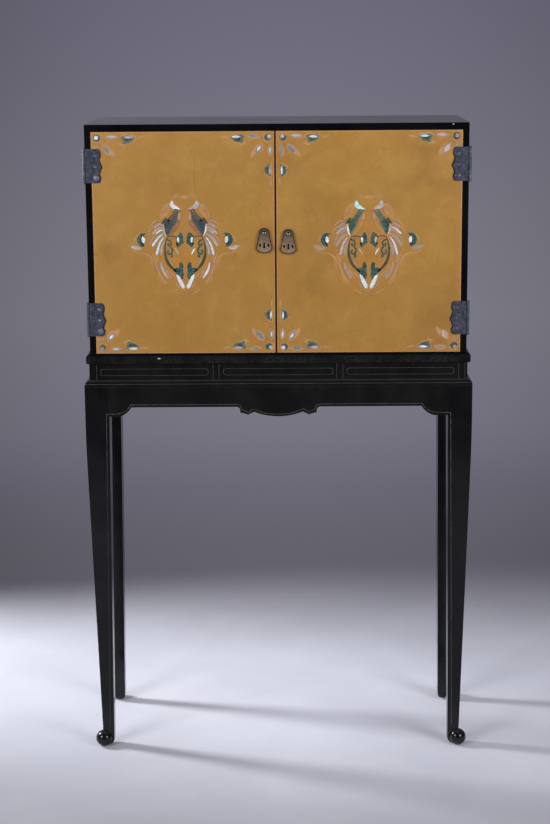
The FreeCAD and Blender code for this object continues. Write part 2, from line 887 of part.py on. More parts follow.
# ---------------------------------------------------------------- lock in the right door
lock_key_z = stud_heights["right"] - keyhole_fall
lock_front = door_back - lock_depth
bolt_z = lock_key_z + bolt_rise
lock_top = bolt_z + bolt_height / 2 + lock_head_room + lock_wall
lock_bottom = lock_top - lock_height
lock_body = box(
    door_right_edge, door_right_edge + lock_width, lock_front, door_back, lock_bottom, lock_top
)
bolt_y = (lock_front + door_back) / 2
bolt_start = door_right_edge + bolt_setback
bolt = box(
    bolt_start, bolt_start + bolt_length,
    bolt_y - bolt_thickness / 2, bolt_y + bolt_thickness / 2,
    bolt_z - bolt_height / 2, bolt_z + bolt_height / 2,
)
lock_cavity = box(
    door_right_edge + lock_wall, door_right_edge + lock_width - lock_wall,
    lock_front + lock_wall, door_back - lock_wall,
    lock_bottom + lock_wall, lock_top - lock_wall,
)


# A slot that a bolt slides in, with play on its four long sides.
def bolt_slot(x0, x1, play):
    return box(
        x0, x1,
        bolt_y - bolt_thickness / 2 - play, bolt_y + bolt_thickness / 2 + play,
        bolt_z - bolt_height / 2 - play, bolt_z + bolt_height / 2 + play,
    )


key_depth = V(0, lock_front + lock_wall - door_front, 0)
key_channel = keyhole(pull_places["right"], lock_key_z, door_front, key_depth)
bolt_mouth = bolt_slot(door_right_edge, door_right_edge + lock_wall, bolt_play)
lock_case = lock_body.cut([lock_cavity, bolt_mouth, key_channel])
save("lock_case", lock_case)
save("lock_bolt", bolt)

# ---------------------------------------------------------------- keeper and flush bolts in the left door
keeper = box(
    door_left_edge - keeper_thickness, door_left_edge,
    door_back - keeper_width, door_back,
    bolt_z - keeper_height / 2, bolt_z + keeper_height / 2,
)
bolt_reach = bolt_throw - bolt_setback - door_meeting_gap + mortise_end_room
keeper_mortise = bolt_slot(door_left_edge - bolt_reach, door_left_edge, mortise_play)
keeper_plate = keeper.cut(keeper_mortise)

flush_back = flush_bolt_front + flush_bolt_thickness
flush_plate_length = flush_bolt_length + bolt_play


# One flush bolt with its cover plate and the two recesses for them, at the top of the
# door (up = 1) or the bottom (up = -1). Heights run from the door's edge into the door.
def flush_bolt_set(edge, up):
    def span(near, far):
        return sorted((edge - up * near, edge - up * far))

    bar = box(
        flush_left, flush_right, flush_bolt_front, flush_back,
        *span(flush_bolt_setback, flush_bolt_setback + flush_bolt_length),
    )
    knob_z = edge - up * (flush_bolt_setback + flush_bolt_length - flush_knob_rise)
    knob_end = V(flush_bolt_x, door_back + flush_knob_reach, knob_z)
    knob = rod(flush_knob_radius, V(flush_bolt_x, flush_back, knob_z), knob_end)
    plate_half = flush_plate_width / 2
    plate_room = box(
        flush_bolt_x - plate_half, flush_bolt_x + plate_half,
        door_back - flush_plate_thickness, door_back,
        *span(0, flush_plate_length),
    )
    slot_play = flush_knob_radius + bolt_play
    slot = box(
        flush_bolt_x - slot_play, flush_bolt_x + slot_play,
        door_back - flush_plate_thickness, door_back,
        *sorted((knob_z - up * slot_play, knob_z + up * (bolt_throw + slot_play))),
    )
    bar_room = box(
        flush_left - bolt_play, flush_right + bolt_play, flush_bolt_front - bolt_play, door_back,
        *span(0, flush_bolt_setback + flush_bolt_length + bolt_play),
    )
    return bar.fuse(knob), plate_room.cut(slot), [plate_room, bar_room]


upper_bolt, upper_plate, upper_rooms = flush_bolt_set(door_top, 1)
lower_bolt, lower_plate, lower_rooms = flush_bolt_set(door_bottom, -1)
save("flush_bolt_upper", upper_bolt)
save("flush_bolt_lower", lower_bolt)
save("bolt_plates", upper_plate, lower_plate, keeper_plate)

# ---------------------------------------------------------------- doors
right_board = box(door_right_edge, door_outer_x, door_front, door_back, door_bottom, door_top)
left_board = box(-door_outer_x, door_left_edge, door_front, door_back, door_bottom, door_top)
right_stud = list(studs["right"])
left_stud = list(studs["left"])
left_keyhole_z = stud_heights["left"] - keyhole_fall
blind_keyhole = keyhole(pull_places["left"], left_keyhole_z, door_front, V(0, blind_keyhole_depth, 0))
save("door_right", right_board.cut([lock_body, key_channel] + right_stud + door_nails))
left_tools = [keeper, keeper_mortise, blind_keyhole] + left_stud + upper_rooms + lower_rooms
save("door_left", left_board.cut(left_tools + left_door_nails))
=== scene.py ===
import math
import random

import bmesh
import bpy
from mathutils import Matrix, Vector


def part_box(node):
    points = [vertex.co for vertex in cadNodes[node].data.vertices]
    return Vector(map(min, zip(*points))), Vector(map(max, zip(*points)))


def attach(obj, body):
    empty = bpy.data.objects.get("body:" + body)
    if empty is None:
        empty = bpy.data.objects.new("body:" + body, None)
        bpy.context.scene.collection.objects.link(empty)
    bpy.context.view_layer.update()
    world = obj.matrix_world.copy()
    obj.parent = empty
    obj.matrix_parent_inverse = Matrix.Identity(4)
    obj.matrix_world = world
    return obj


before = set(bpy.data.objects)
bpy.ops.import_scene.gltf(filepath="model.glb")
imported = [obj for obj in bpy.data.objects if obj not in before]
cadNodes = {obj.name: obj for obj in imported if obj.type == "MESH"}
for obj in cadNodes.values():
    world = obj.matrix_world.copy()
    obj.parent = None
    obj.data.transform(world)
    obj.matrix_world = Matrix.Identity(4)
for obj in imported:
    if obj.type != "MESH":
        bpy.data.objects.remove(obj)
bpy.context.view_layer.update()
mm = 0.001
print("frame loaded with", len(cadNodes), "nodes")


# A colour as a paint card shows it, 0 to 255, turned into the linear one that a socket takes.
def tone(red, green, blue):
    linear = []
    for value in (red, green, blue):
        share = value / 255
        linear.append(share / 12.92 if share < 0.04 else ((share + 0.055) / 1.055) ** 2.4)
    return (*linear, 1.0)


# Where a node's box ends, in millimetres: end is 0 for low and 1 for high, axis 0 to 2.
def faceAt(node, end, axis):
    return round(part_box(node)[end][axis] / mm, 3)


# Helpers for shader nodes. An input is linked if it is given a socket, and set if it is a value.
def setInputs(tree, node, inputs):
    for key, value in inputs.items():
        if isinstance(value, bpy.types.NodeSocket):
            tree.links.new(value, node.inputs[key])
        else:
            node.inputs[key].default_value = value


def addNode(tree, kind, inputs=None, **settings):
    node = tree.nodes.new("ShaderNode" + kind)
    for key, value in settings.items():
        setattr(node, key, value)
    setInputs(tree, node, inputs or {})
    return node


def objectPlace(tree):
    return addNode(tree, "TexCoord").outputs["Object"]


# The tree in which the sockets among some inputs lie, where the node that they feed belongs.
def treeOf(*inputs):
    return next(value.id_data for value in inputs if isinstance(value, bpy.types.NodeSocket))


def axesOf(vector):
    return addNode(treeOf(vector), "SeparateXYZ", {0: vector}).outputs


def maths(operation, first, second=0.0, clamp=False):
    tree = treeOf(first, second)
    return addNode(tree, "Math", {0: first, 1: second}, operation=operation, use_clamp=clamp).outputs[0]


def plus(first, second):
    return maths("ADD", first, second)


def minus(first, second):
    return maths("SUBTRACT", first, second)


def times(first, second, clamp=False):
    return maths("MULTIPLY", first, second, clamp)


def largest(first, second):
    return maths("MAXIMUM", first, second)


def smallest(first, second):
    return maths("MINIMUM", first, second)


# What a vector operation gives, a vector or a number.
def vectorMaths(operation, output, first, second=(0, 0, 0)):
    node = addNode(treeOf(first), "VectorMath", {0: first, 1: second}, operation=operation)
    return node.outputs[output]


def mixColour(factor, first, second, blend="MIX"):
    tree = treeOf(factor, first, second)
    node = addNode(tree, "Mix", {0: factor, 6: first, 7: second}, data_type="RGBA", blend_type=blend)
    return node.outputs[2]


# The colour, brighter or darker by a share.
def dimmed(colour, share):
    grey = addNode(treeOf(share), "CombineColor", {0: share, 1: share, 2: share}).outputs[0]
    return mixColour(1.0, colour, grey, "MULTIPLY")


def remap(value, low, high, newLow=0.0, newHigh=1.0, smooth=False):
    node = addNode(treeOf(value), "MapRange", {
        "Value": value, "From Min": low, "From Max": high, "To Min": newLow, "To Max": newHigh,
    }, interpolation_type="SMOOTHSTEP" if smooth else "LINEAR")
    return node.outputs["Result"]


def noise(vector, scale, detail=4.0, roughness=0.5, distortion=0.0):
    node = addNode(treeOf(vector), "TexNoise", {
        "Vector": vector, "Scale": scale, "Detail": detail,
        "Roughness": roughness, "Distortion": distortion,
    })
    return node.outputs[0]


def bumpOn(height, strength, distance, under=None):
    inputs = {"Height": height, "Strength": strength, "Distance": distance}
    if under is not None:
        inputs["Normal"] = under
    return addNode(treeOf(height), "Bump", inputs).outputs[0]


# Opens a shared effect: its tree, its inputs and the point on the object.
def newGroup(name, inputs):
    tree = bpy.data.node_groups.new(name, "ShaderNodeTree")
    for label, value in inputs.items():
        kind = "Float" if isinstance(value, float) else "Vector" if len(value) == 3 else "Color"
        socket = tree.interface.new_socket(name=label, in_out="INPUT", socket_type="NodeSocket" + kind)
        socket.default_value = value
    return tree, tree.nodes.new("NodeGroupInput").outputs, objectPlace(tree)


# Closes a shared effect with its outputs, each named and fed by a socket.
def endGroup(tree, **results):
    kinds = {"VALUE": "NodeSocketFloat", "VECTOR": "NodeSocketVector", "RGBA": "NodeSocketColor"}
    for label, value in results.items():
        tree.interface.new_socket(name=label, in_out="OUTPUT", socket_type=kinds[value.type])
    setInputs(tree, tree.nodes.new("NodeGroupOutput"), results)
    return tree


def useGroup(tree, group, inputs=None):
    return addNode(tree, "Group", inputs, node_tree=group).outputs


def newMaterial(name):
    material = bpy.data.materials.new(name)
    material.use_nodes = True
    return material, material.node_tree


def setShader(material, inputs):
    tree = material.node_tree
    setInputs(tree, tree.nodes["Principled BSDF"], inputs)
    return material


# Rounded arrises: the bevelled normal, and where handling has rubbed the finish off them.
def makeEdgeRub():
    tree, given, place = newGroup("edgeRub", {"Radius": 0.8 * mm, "Rub": 1.0, "Patchiness": 45.0})
    rounded = addNode(tree, "Bevel", {"Radius": given["Radius"]}, samples=6).outputs[0]
    flat = addNode(tree, "NewGeometry").outputs["Normal"]
    turn = vectorMaths("DOT_PRODUCT", "Value", rounded, flat)
    patches = remap(noise(place, given["Patchiness"], 6.0, 0.65), 0.42, 0.66)
    worn = times(remap(turn, 0.99, 0.8), patches)
    worn = times(worn, given["Rub"], clamp=True)
    return endGroup(tree, Rubbed=worn, Rounding=rounded)


# Fine surface marks: a faint unevenness, hairline scratches and a soft haze of handling.
def makeFineMarks():
    tree, given, place = newGroup("fineMarks", {"Ripple Scale": 90.0, "Scratches": 1.0})
    hair = 0.0
    for turn, stretch in (((0.3, 0.2, 0.9), (900, 900, 9)), ((1.2, 0.6, 0.1), (700, 8, 700))):
        mapped = addNode(tree, "Mapping", {"Vector": place, "Rotation": turn, "Scale": stretch}).outputs[0]
        hair = largest(hair, remap(noise(mapped, 1.0, 2.0), 0.68, 0.76))
    hair = times(hair, given["Scratches"])
    ripple = noise(place, given["Ripple Scale"], 3.0, 0.55)
    height = minus(times(ripple, 0.35), times(hair, 0.25))
    haze = remap(noise(place, 11.0, 5.0, 0.6), 0.35, 0.7)
    haze = plus(times(haze, 0.7), times(hair, 0.3))
    return endGroup(tree, Height=height, Haze=haze)


# Soft cloudy patches between two colours.
def makeClouding():
    tree, given, place = newGroup("clouding", {
        "First": (0, 0, 0, 1), "Second": (1, 1, 1, 1), "Scale": 8.0, "Low": 0.35, "High": 0.65,
    })
    patches = noise(place, given["Scale"], 6.0, 0.6, 0.4)
    patches = remap(patches, given["Low"], given["High"], smooth=True)
    colour = mixColour(patches, given["First"], given["Second"])
    return endGroup(tree, Colour=colour, Patches=patches)


# Dust that has settled on what faces up.
def makeSettledDust():
    tree, given, place = newGroup("settledDust", {"Amount": 0.3})
    up = axesOf(addNode(tree, "TexCoord").outputs["Normal"])["Z"]
    specks = remap(noise(place, 260.0, 4.0, 0.6), 0.3, 0.7, 0.82, 1.0)
    drifts = remap(noise(place, 7.0, 5.0, 0.6, 0.6), 0.3, 0.7, 0.78, 1.0)
    dust = times(remap(up, 0.6, 0.98), times(specks, drifts))
    return endGroup(tree, Dust=times(dust, given["Amount"], clamp=True))


# How near a point of the surface is to one place: 1 there, 0 at the reach.
def makeNearness():
    tree, given, place = newGroup("nearness", {
        "Centre": (0, 0, 0), "Stretch": (1, 1, 1), "Reach": 0.1,
    })
    offset = vectorMaths("SUBTRACT", 0, place, given["Centre"])
    distance = vectorMaths("LENGTH", "Value", vectorMaths("MULTIPLY", 0, offset, given["Stretch"]))
    near = remap(maths("DIVIDE", distance, given["Reach"]), 1.0, 0.35, smooth=True)
    return endGroup(tree, Near=near)


# The figure of cut shell: soft streaks that run through three colours.
def makeShellFigure():
    tree, given, place = newGroup("shellFigure", {
        "Pale": (1, 1, 1, 1), "Cool": (0.5, 0.8, 0.8, 1), "Warm": (0.9, 0.7, 0.7, 1), "Scale": 60.0,
    })
    mapped = addNode(tree, "Mapping", {
        "Vector": place, "Rotation": (0.4, 0.9, 0.3), "Scale": (1.0, 1.0, 3.2),
    }).outputs[0]
    streaks = noise(mapped, given["Scale"], 3.0, 0.6, 0.8)
    patches = noise(place, times(given["Scale"], 0.45), 2.0)
    colour = mixColour(remap(streaks, 0.42, 0.6, smooth=True), given["Cool"], given["Pale"])
    colour = mixColour(remap(patches, 0.5, 0.66, smooth=True), colour, given["Warm"])
    return endGroup(tree, Colour=colour, Height=streaks)


edgeRub = makeEdgeRub()
fineMarks = makeFineMarks()
clouding = makeClouding()
settledDust = makeSettledDust()
nearness = makeNearness()
shellFigure = makeShellFigure()
print("shared effects made")


def clouded(tree, tones, scale, low=0.35, high=0.65):
    return useGroup(tree, clouding, {
        "First": tones[0], "Second": tones[1], "Scale": scale, "Low": low, "High": high,
    })


lacquerLook = {
    "legs": (tone(9, 9, 11), tone(16, 16, 18)), "stand": (tone(14, 14, 14), tone(21, 21, 20)),
    "carcase": (tone(4, 4, 5), tone(9, 9, 10)), "red": (tone(70, 13, 8), tone(112, 24, 14)),
    "rubbed": tone(70, 62, 52), "rubbedRed": tone(58, 40, 30), "dust": tone(152, 150, 160),
    "roughness": (0.13, 0.3), "redRoughness": (0.28, 0.5), "radius": 0.9 * mm, "shine": 0.36,
    "inside": (Vector((-375.2, -142.3, 858.2)) * mm, Vector((375.2, 136.8, 1312.4)) * mm),
    # the moulding under the doors: its flecks turn from gilt to green upwards, and its ledge carries painted
    # shade, near black and with little shine, for the shadow under the doors
    "flecks": (tone(74, 64, 44), tone(40, 62, 60)), "fleckHeights": (849.5 * mm, 856.5 * mm),
    "fleckWave": 12 * mm, "ledgeShade": tone(5, 4, 4), "ledgeShadeHeights": (853.5 * mm, 856.2 * mm),
    "ledgeShadeShine": 0.03,
}


# Black lacquer. redInside makes the walls of the carcase's space red, and flecks is how strongly the
# moulding's flecks show; any flecks also bring the painted shade on the moulding's ledge.
# dustAndSheen is how much pale dust settles on what faces up; where it is heavy it is partly dust and partly
# a painted sheen.
def makeBlackLacquer(name, kind, redInside=False, flecks=0.0, dustAndSheen=0.07):
    look = lacquerLook
    material, tree = newMaterial(name)
    place = objectPlace(tree)
    axes = axesOf(place)
    edges = useGroup(tree, edgeRub, {"Radius": look["radius"], "Rub": 0.45, "Patchiness": 60.0})
    marks = useGroup(tree, fineMarks, {"Ripple Scale": 70.0})
    colour, shine = clouded(tree, look[kind], 14.0)["Colour"], look["shine"]
    if flecks:
        specks = remap(noise(place, 420.0, 5.0, 0.7), 0.42, 0.62)
        patches = remap(noise(place, 30.0, 3.0), 0.3, 0.6)
        height = plus(axes["Z"], times(noise(place, 60.0), look["fleckWave"]))
        gilt = mixColour(remap(height, *look["fleckHeights"]), *look["flecks"])
        colour = mixColour(times(times(specks, patches), flecks), colour, gilt)
    colour = mixColour(edges["Rubbed"], colour, look["rubbed"])
    dust = useGroup(tree, settledDust, {"Amount": dustAndSheen})["Dust"]
    if redInside:
        walls = 1.0
        for axis, low, high in zip("XYZ", *look["inside"]):
            walls = times(walls, maths("GREATER_THAN", axes[axis], low))
            walls = times(walls, maths("LESS_THAN", axes[axis], high))
        colour = mixColour(walls, colour, clouded(tree, look["red"], 9.0)["Colour"])
        dust = times(dust, remap(walls, 0.0, 1.0, 1.0, 0.15))
    colour = mixColour(dust, colour, look["dust"])
    if flecks:
        # painted shade: the ledge under the doors turns near black and loses its shine
        ledgeShade = remap(axes["Z"], *look["ledgeShadeHeights"])
        colour = mixColour(ledgeShade, colour, look["ledgeShade"])
        shine = remap(ledgeShade, 0.0, 1.0, shine, look["ledgeShadeShine"])
    rough = remap(marks["Haze"], 0.0, 1.0, *look["roughness"])
    rough = plus(rough, times(edges["Rubbed"], 0.25))
    rough = plus(rough, times(dust, 0.3))
    normal = bumpOn(marks["Height"], 0.25, 0.4 * mm, edges["Rounding"])
    return setShader(material, {
        "Base Color": colour, "Roughness": rough, "Normal": normal, "Specular IOR Level": shine,
    })


def makeRedLacquer():
    look = lacquerLook
    material, tree = newMaterial("redLacquer")
    edges = useGroup(tree, edgeRub, {"Radius": look["radius"], "Rub": 0.6})
    marks = useGroup(tree, fineMarks)
    colour = mixColour(edges["Rubbed"], clouded(tree, look["red"], 9.0)["Colour"], look["rubbedRed"])
    rough = remap(marks["Haze"], 0.0, 1.0, *look["redRoughness"])
    normal = bumpOn(marks["Height"], 0.3, 0.4 * mm, edges["Rounding"])
    return setShader(material, {"Base Color": colour, "Roughness": rough, "Normal": normal})


goldGroundLook = {
    "brown": tone(141, 98, 38), "middle": tone(165, 121, 51), "light": tone(186, 143, 66),
    "paintedShadeBottomToTop": (0.9, 1.02), "orange": tone(186, 119, 48), "bandWidth": 22 * mm,
    "cornerReach": 85 * mm, "centres": {"left": (-187.3, 1075), "right": (187.1, 1073)},
    "centreReach": 125 * mm, "border": tone(190, 152, 110), "borderWidth": 2 * mm, "ragged": 1.4 * mm,
    "crack": tone(96, 62, 30), "wornEdge": tone(92, 34, 12), "wornWidth": (0.9 * mm, 0.5 * mm),
    "red": (tone(88, 11, 5), tone(122, 18, 8)), "goldDepth": (0.1 * mm, 0.4 * mm),
    "roughness": (0.36, 0.5), "coat": 0.2, "coatRoughness": 0.22,
}


# A door's ground: clouded ochre gold on the face, with painted shade that darkens it towards the bottom and a
# touch of painted light at the top, warmer colour towards the edges and round the ornament, a worn pale
# border, fine age cracks, and red lacquer on edges and back.
def makeGoldGround(side):
    look = goldGroundLook
    material, tree = newMaterial("goldGround" + side.capitalize())
    low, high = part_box("door_" + side)
    place = objectPlace(tree)
    axes = axesOf(place)
    edges = useGroup(tree, edgeRub, {"Radius": 1.1 * mm})
    marks = useGroup(tree, fineMarks, {"Ripple Scale": 55.0, "Scratches": 0.8})
    broad = clouded(tree, (look["brown"], look["middle"]), 6.0, 0.28, 0.56)
    small = clouded(tree, (look["middle"], look["light"]), 26.0, 0.4, 0.75)
    colour = mixColour(0.42, broad["Colour"], small["Colour"])
    grain = remap(noise(place, 420.0, 4.0, 0.7), 0.3, 0.7, 0.86, 1.12)
    # painted shade and light: darker towards the bottom and a touch brighter at the top, as lamps from above
    # would light it
    upward = remap(axes["Z"], low[2], high[2], *look["paintedShadeBottomToTop"])
    colour = dimmed(colour, times(grain, upward))

    gaps = []  # how far it is to each edge of the door
    for axis, index in (("X", 0), ("Z", 2)):
        gaps.append(minus(axes[axis], low[index]))
        gaps.append(minus(high[index], axes[axis]))
    rim = gaps[0]
    for gap in gaps[1:]:
        rim = smallest(rim, gap)
    ragged = remap(noise(place, 70.0, 5.0, 0.7), 0.3, 0.7, -look["ragged"], look["ragged"])
    rim = plus(rim, ragged)
    band = remap(rim, look["bandWidth"], look["borderWidth"], smooth=True)
    patches = remap(noise(place, 48.0, 6.0, 0.65), 0.42, 0.62)
    warm = times(times(band, patches), 0.35)
    for x in (low[0], high[0]):
        for z in (low[2], high[2]):
            corner = useGroup(tree, nearness, {"Centre": (x, low[1], z), "Reach": look["cornerReach"]})
            warm = largest(warm, times(times(corner["Near"], patches), 0.6))
    x, z = look["centres"][side]
    centre = useGroup(tree, nearness, {
        "Centre": (x * mm, low[1], z * mm), "Stretch": (1.25, 1, 1), "Reach": look["centreReach"],
    })
    spots = remap(noise(place, 75.0, 4.0, 0.55), 0.38, 0.64, 0.1, 1.0)
    warm = largest(warm, times(times(centre["Near"], spots), 0.62))
    colour = mixColour(warm, colour, look["orange"])

    border = remap(rim, look["borderWidth"] * 1.3, look["borderWidth"] * 0.7)
    colour = mixColour(times(border, 0.4), colour, look["border"])
    cells = addNode(tree, "TexVoronoi", {"Vector": place, "Scale": 34.0}, feature="DISTANCE_TO_EDGE")
    crack = times(remap(cells.outputs["Distance"], 0.012, 0.0),
                  remap(noise(place, 13.0), 0.5, 0.62))
    colour = mixColour(times(crack, 0.35), colour, look["crack"])
    meeting = gaps[1] if side == "left" else gaps[0]
    colour = mixColour(remap(meeting, *look["wornWidth"]), colour, look["wornEdge"])

    behind = remap(axes["Y"], *(low[1] + depth for depth in look["goldDepth"]))
    colour = mixColour(behind, colour, clouded(tree, look["red"], 12.0)["Colour"])
    rough = remap(marks["Haze"], 0.0, 1.0, *look["roughness"])
    relief = minus(marks["Height"], times(crack, 0.4))
    flat = addNode(tree, "NewGeometry").outputs["Normal"]
    rounding = addNode(tree, "Mix", {0: behind, 4: edges["Rounding"], 5: flat}, data_type="VECTOR")
    normal = bumpOn(relief, 0.35, 0.5 * mm, rounding.outputs[1])
    return setShader(material, {
        "Base Color": colour, "Roughness": rough, "Normal": normal,
        "Coat Weight": look["coat"], "Coat Roughness": look["coatRoughness"],
    })


woodLook = {"grain": (tone(150, 112, 72), tone(192, 156, 108)), "lines": tone(112, 76, 46)}


def makePlainWood():
    look = woodLook
    material, tree = newMaterial("plainWood")
    mapped = addNode(tree, "Mapping", {"Vector": objectPlace(tree), "Scale": (2.0, 26.0, 26.0)}).outputs[0]
    rings = noise(mapped, 3.0, 6.0, 0.6, 1.2)
    lines = addNode(tree, "TexWave", {
        "Vector": mapped, "Scale": 1.6, "Distortion": 6.0, "Detail": 3.0,
    }, bands_direction="Y").outputs[1]
    colour = mixColour(remap(rings, 0.3, 0.7), *look["grain"])
    colour = mixColour(times(lines, 0.35), colour, look["lines"])
    normal = bumpOn(lines, 0.25, 0.5 * mm, useGroup(tree, edgeRub)["Rounding"])
    rough = remap(rings, 0.0, 1.0, 0.55, 0.75)
    return setShader(material, {"Base Color": colour, "Roughness": rough, "Normal": normal})


# Metals: two tones of patina, the tone where rubbed, how metallic, the roughness where dull and
# where smooth, the relief's height in millimetres and its scale, and how far edges are rubbed.
metalLooks = {
    "gunmetalPlate": ((50, 60, 68), (90, 88, 108), (112, 114, 128), 0.6, (0.55, 0.42), (1.1, 90.0), 0.6),
    "gunmetalPlain": ((70, 75, 87), (94, 99, 112), (150, 153, 164), 0.65, (0.5, 0.34), (0.2, 60.0), 0.4),
    # painted shade: a near-black copy of gunmetal for the hinge leaves' rims
    "paintedShadeGunmetal": ((12, 12, 14), (24, 24, 25), (44, 46, 50), 0.4, (0.6, 0.4), (0.2, 60.0), 0.4),
    # painted highlight: a lighter copy of gunmetal for the boss and nails that catch the light
    "paintedHighlightGunmetal": ((96, 102, 124), (136, 140, 162), (160, 164, 184), 0.6, (0.52, 0.4), (0.1, 60.0), 0.5),
    "agedBronze": ((128, 108, 88), (172, 150, 122), (206, 188, 156), 0.7, (0.52, 0.34), (0.3, 240.0), 0.8),
    "bronzeRim": ((50, 40, 32), (78, 62, 48), (120, 100, 78), 0.7, (0.55, 0.38), (0.2, 260.0), 0.8),
    "studMetal": ((112, 116, 118), (150, 152, 150), (200, 200, 192), 0.95, (0.26, 0.12), (0.1, 150.0), 0.5),
    "plainSteel": ((130, 131, 132), (160, 160, 158), (196, 196, 192), 0.95, (0.46, 0.28), (0.1, 120.0), 0.6),
    "dullBrass": ((136, 108, 58), (178, 146, 84), (212, 186, 120), 0.95, (0.46, 0.26), (0.1, 120.0), 0.8),
    "agedGilt": ((74, 72, 66), (112, 109, 98), (134, 128, 110), 0.35, (0.6, 0.42), (0.1, 300.0), 0.4),
    "dimGilt": ((56, 56, 53), (88, 87, 82), (106, 102, 94), 0.35, (0.6, 0.42), (0.1, 300.0), 0.4),
}
# The pulls are darker towards the top: between two heights, from one share to another.
pullShade = (1064 * mm, 1114 * mm, 1.56, 0.46)


def makeMetal(name):
    first, second, worn, metallic, roughness, (reliefHeight, reliefScale), rub = metalLooks[name]
    material, tree = newMaterial(name)
    place = objectPlace(tree)
    edges = useGroup(tree, edgeRub, {"Radius": 0.4 * mm, "Rub": rub, "Patchiness": 150.0})
    marks = useGroup(tree, fineMarks, {"Ripple Scale": 160.0})
    patina = clouded(tree, (tone(*first), tone(*second)), 120.0)
    colour = mixColour(edges["Rubbed"], patina["Colour"], tone(*worn))
    if name == "agedBronze":
        colour = dimmed(colour, remap(axesOf(place)["Z"], *pullShade))
    cells = addNode(tree, "TexVoronoi", {"Vector": place, "Scale": reliefScale}, feature="SMOOTH_F1")
    relief = plus(cells.outputs["Distance"], times(marks["Height"], 0.3))
    rough = remap(patina["Patches"], 0.0, 1.0, *roughness)
    normal = bumpOn(relief, 0.6, reliefHeight * mm, edges["Rounding"])
    return setShader(material, {
        "Base Color": colour, "Metallic": metallic, "Roughness": rough, "Normal": normal,
    })


# Inlaid and painted pieces: the pale, the cool and the warm tone of the figure, its scale, the
# least roughness and the weight of the coat.
inlayLooks = {
    "shellWhite": ((232, 236, 234), (190, 208, 212), (222, 204, 204), 70.0, 0.2, 0.35),
    "shellAqua": ((214, 240, 236), (140, 214, 208), (232, 236, 226), 110.0, 0.2, 0.35),
    "shellRose": ((200, 184, 172), (164, 156, 158), (182, 152, 130), 80.0, 0.26, 0.25),
    "shellTeal": ((66, 97, 89), (42, 68, 64), (82, 96, 74), 90.0, 0.24, 0.2),
    "shellMoss": ((106, 114, 84), (76, 96, 82), (122, 112, 78), 90.0, 0.28, 0.2),
    "shellSlate": ((64, 76, 84), (48, 62, 76), (90, 86, 80), 90.0, 0.26, 0.25),
    "shellGrey": ((136, 138, 132), (104, 112, 116), (150, 134, 116), 90.0, 0.3, 0.2),
    "shellMauve": ((172, 142, 122), (150, 132, 130), (182, 140, 104), 80.0, 0.32, 0.15),
    "shellSmoke": ((88, 86, 78), (58, 70, 74), (102, 86, 66), 80.0, 0.28, 0.2),
    "backBrown": ((112, 92, 64), (86, 84, 68), (126, 96, 64), 90.0, 0.34, 0.1),
    "breastBrown": ((156, 108, 62), (136, 94, 60), (166, 108, 60), 90.0, 0.4, 0.1),
    "stemOlive": ((84, 72, 40), (68, 60, 36), (96, 72, 40), 90.0, 0.36, 0.1),
    "beakRed": ((168, 70, 52), (142, 52, 44), (186, 92, 60), 90.0, 0.36, 0.1),
    "fineTan": ((196, 158, 112), (180, 142, 104), (206, 156, 116), 90.0, 0.4, 0.1),
    "duskTan": ((182, 136, 82), (170, 128, 86), (190, 134, 74), 60.0, 0.4, 0.1),
    "fineOlive": ((128, 108, 66), (108, 98, 66), (142, 108, 62), 90.0, 0.4, 0.1),
    "duskOlive": ((150, 126, 66), (136, 120, 72), (160, 124, 64), 60.0, 0.4, 0.1),
    "glowOrange": ((188, 130, 66), (176, 124, 70), (194, 130, 62), 60.0, 0.4, 0.1),
    "fadedRed": ((180, 104, 66), (164, 94, 64), (190, 112, 62), 90.0, 0.4, 0.1),
    # painted shade: near-black spots on the door behind the pulls' openings
    "paintedHoleShade": ((38, 30, 22), (24, 20, 16), (46, 34, 22), 200.0, 0.7, 0.0),
    "bareGround": ((206, 200, 188), (180, 172, 158), (196, 180, 150), 200.0, 0.7, 0.0),
    "darkCrack": ((92, 62, 32), (74, 48, 26), (112, 74, 36), 200.0, 0.7, 0.0),
}


def makeInlay(name):
    pale, cool, warm, scale, smoothest, coat = inlayLooks[name]
    material, tree = newMaterial(name)
    figure = useGroup(tree, shellFigure, {
        "Pale": tone(*pale), "Cool": tone(*cool), "Warm": tone(*warm), "Scale": scale,
    })
    rough = remap(figure["Height"], 0.3, 0.7, smoothest, smoothest + 0.15)
    normal = bumpOn(figure["Height"], 0.25, 0.4 * mm)
    return setShader(material, {
        "Base Color": figure["Colour"], "Roughness": rough, "Normal": normal,
        "Coat Weight": coat, "Coat Roughness": 0.12,
    })


finishes = {
    "legLacquer": makeBlackLacquer("legLacquer", "legs"),
    "standLacquer": makeBlackLacquer("standLacquer", "stand"),
    # the moulding under the doors, with real flecks and painted shade on its ledge
    "fleckedLacquer": makeBlackLacquer("fleckedLacquer", "legs", flecks=0.42),
    # what faces up on the carcase, chiefly its top, takes heavy pale dust: partly dust, partly a painted
    # sheen of its grazing reflection
    "carcaseLacquer": makeBlackLacquer("carcaseLacquer", "carcase", redInside=True, dustAndSheen=0.74),
    "redLacquer": makeRedLacquer(), "plainWood": makePlainWood(),
    "goldLeft": makeGoldGround("left"), "goldRight": makeGoldGround("right"),
}
for metalName in metalLooks:
    finishes[metalName] = makeMetal(metalName)
for inlayName in inlayLooks:
    finishes[inlayName] = makeInlay(inlayName)
print("finishes made:", len(finishes))

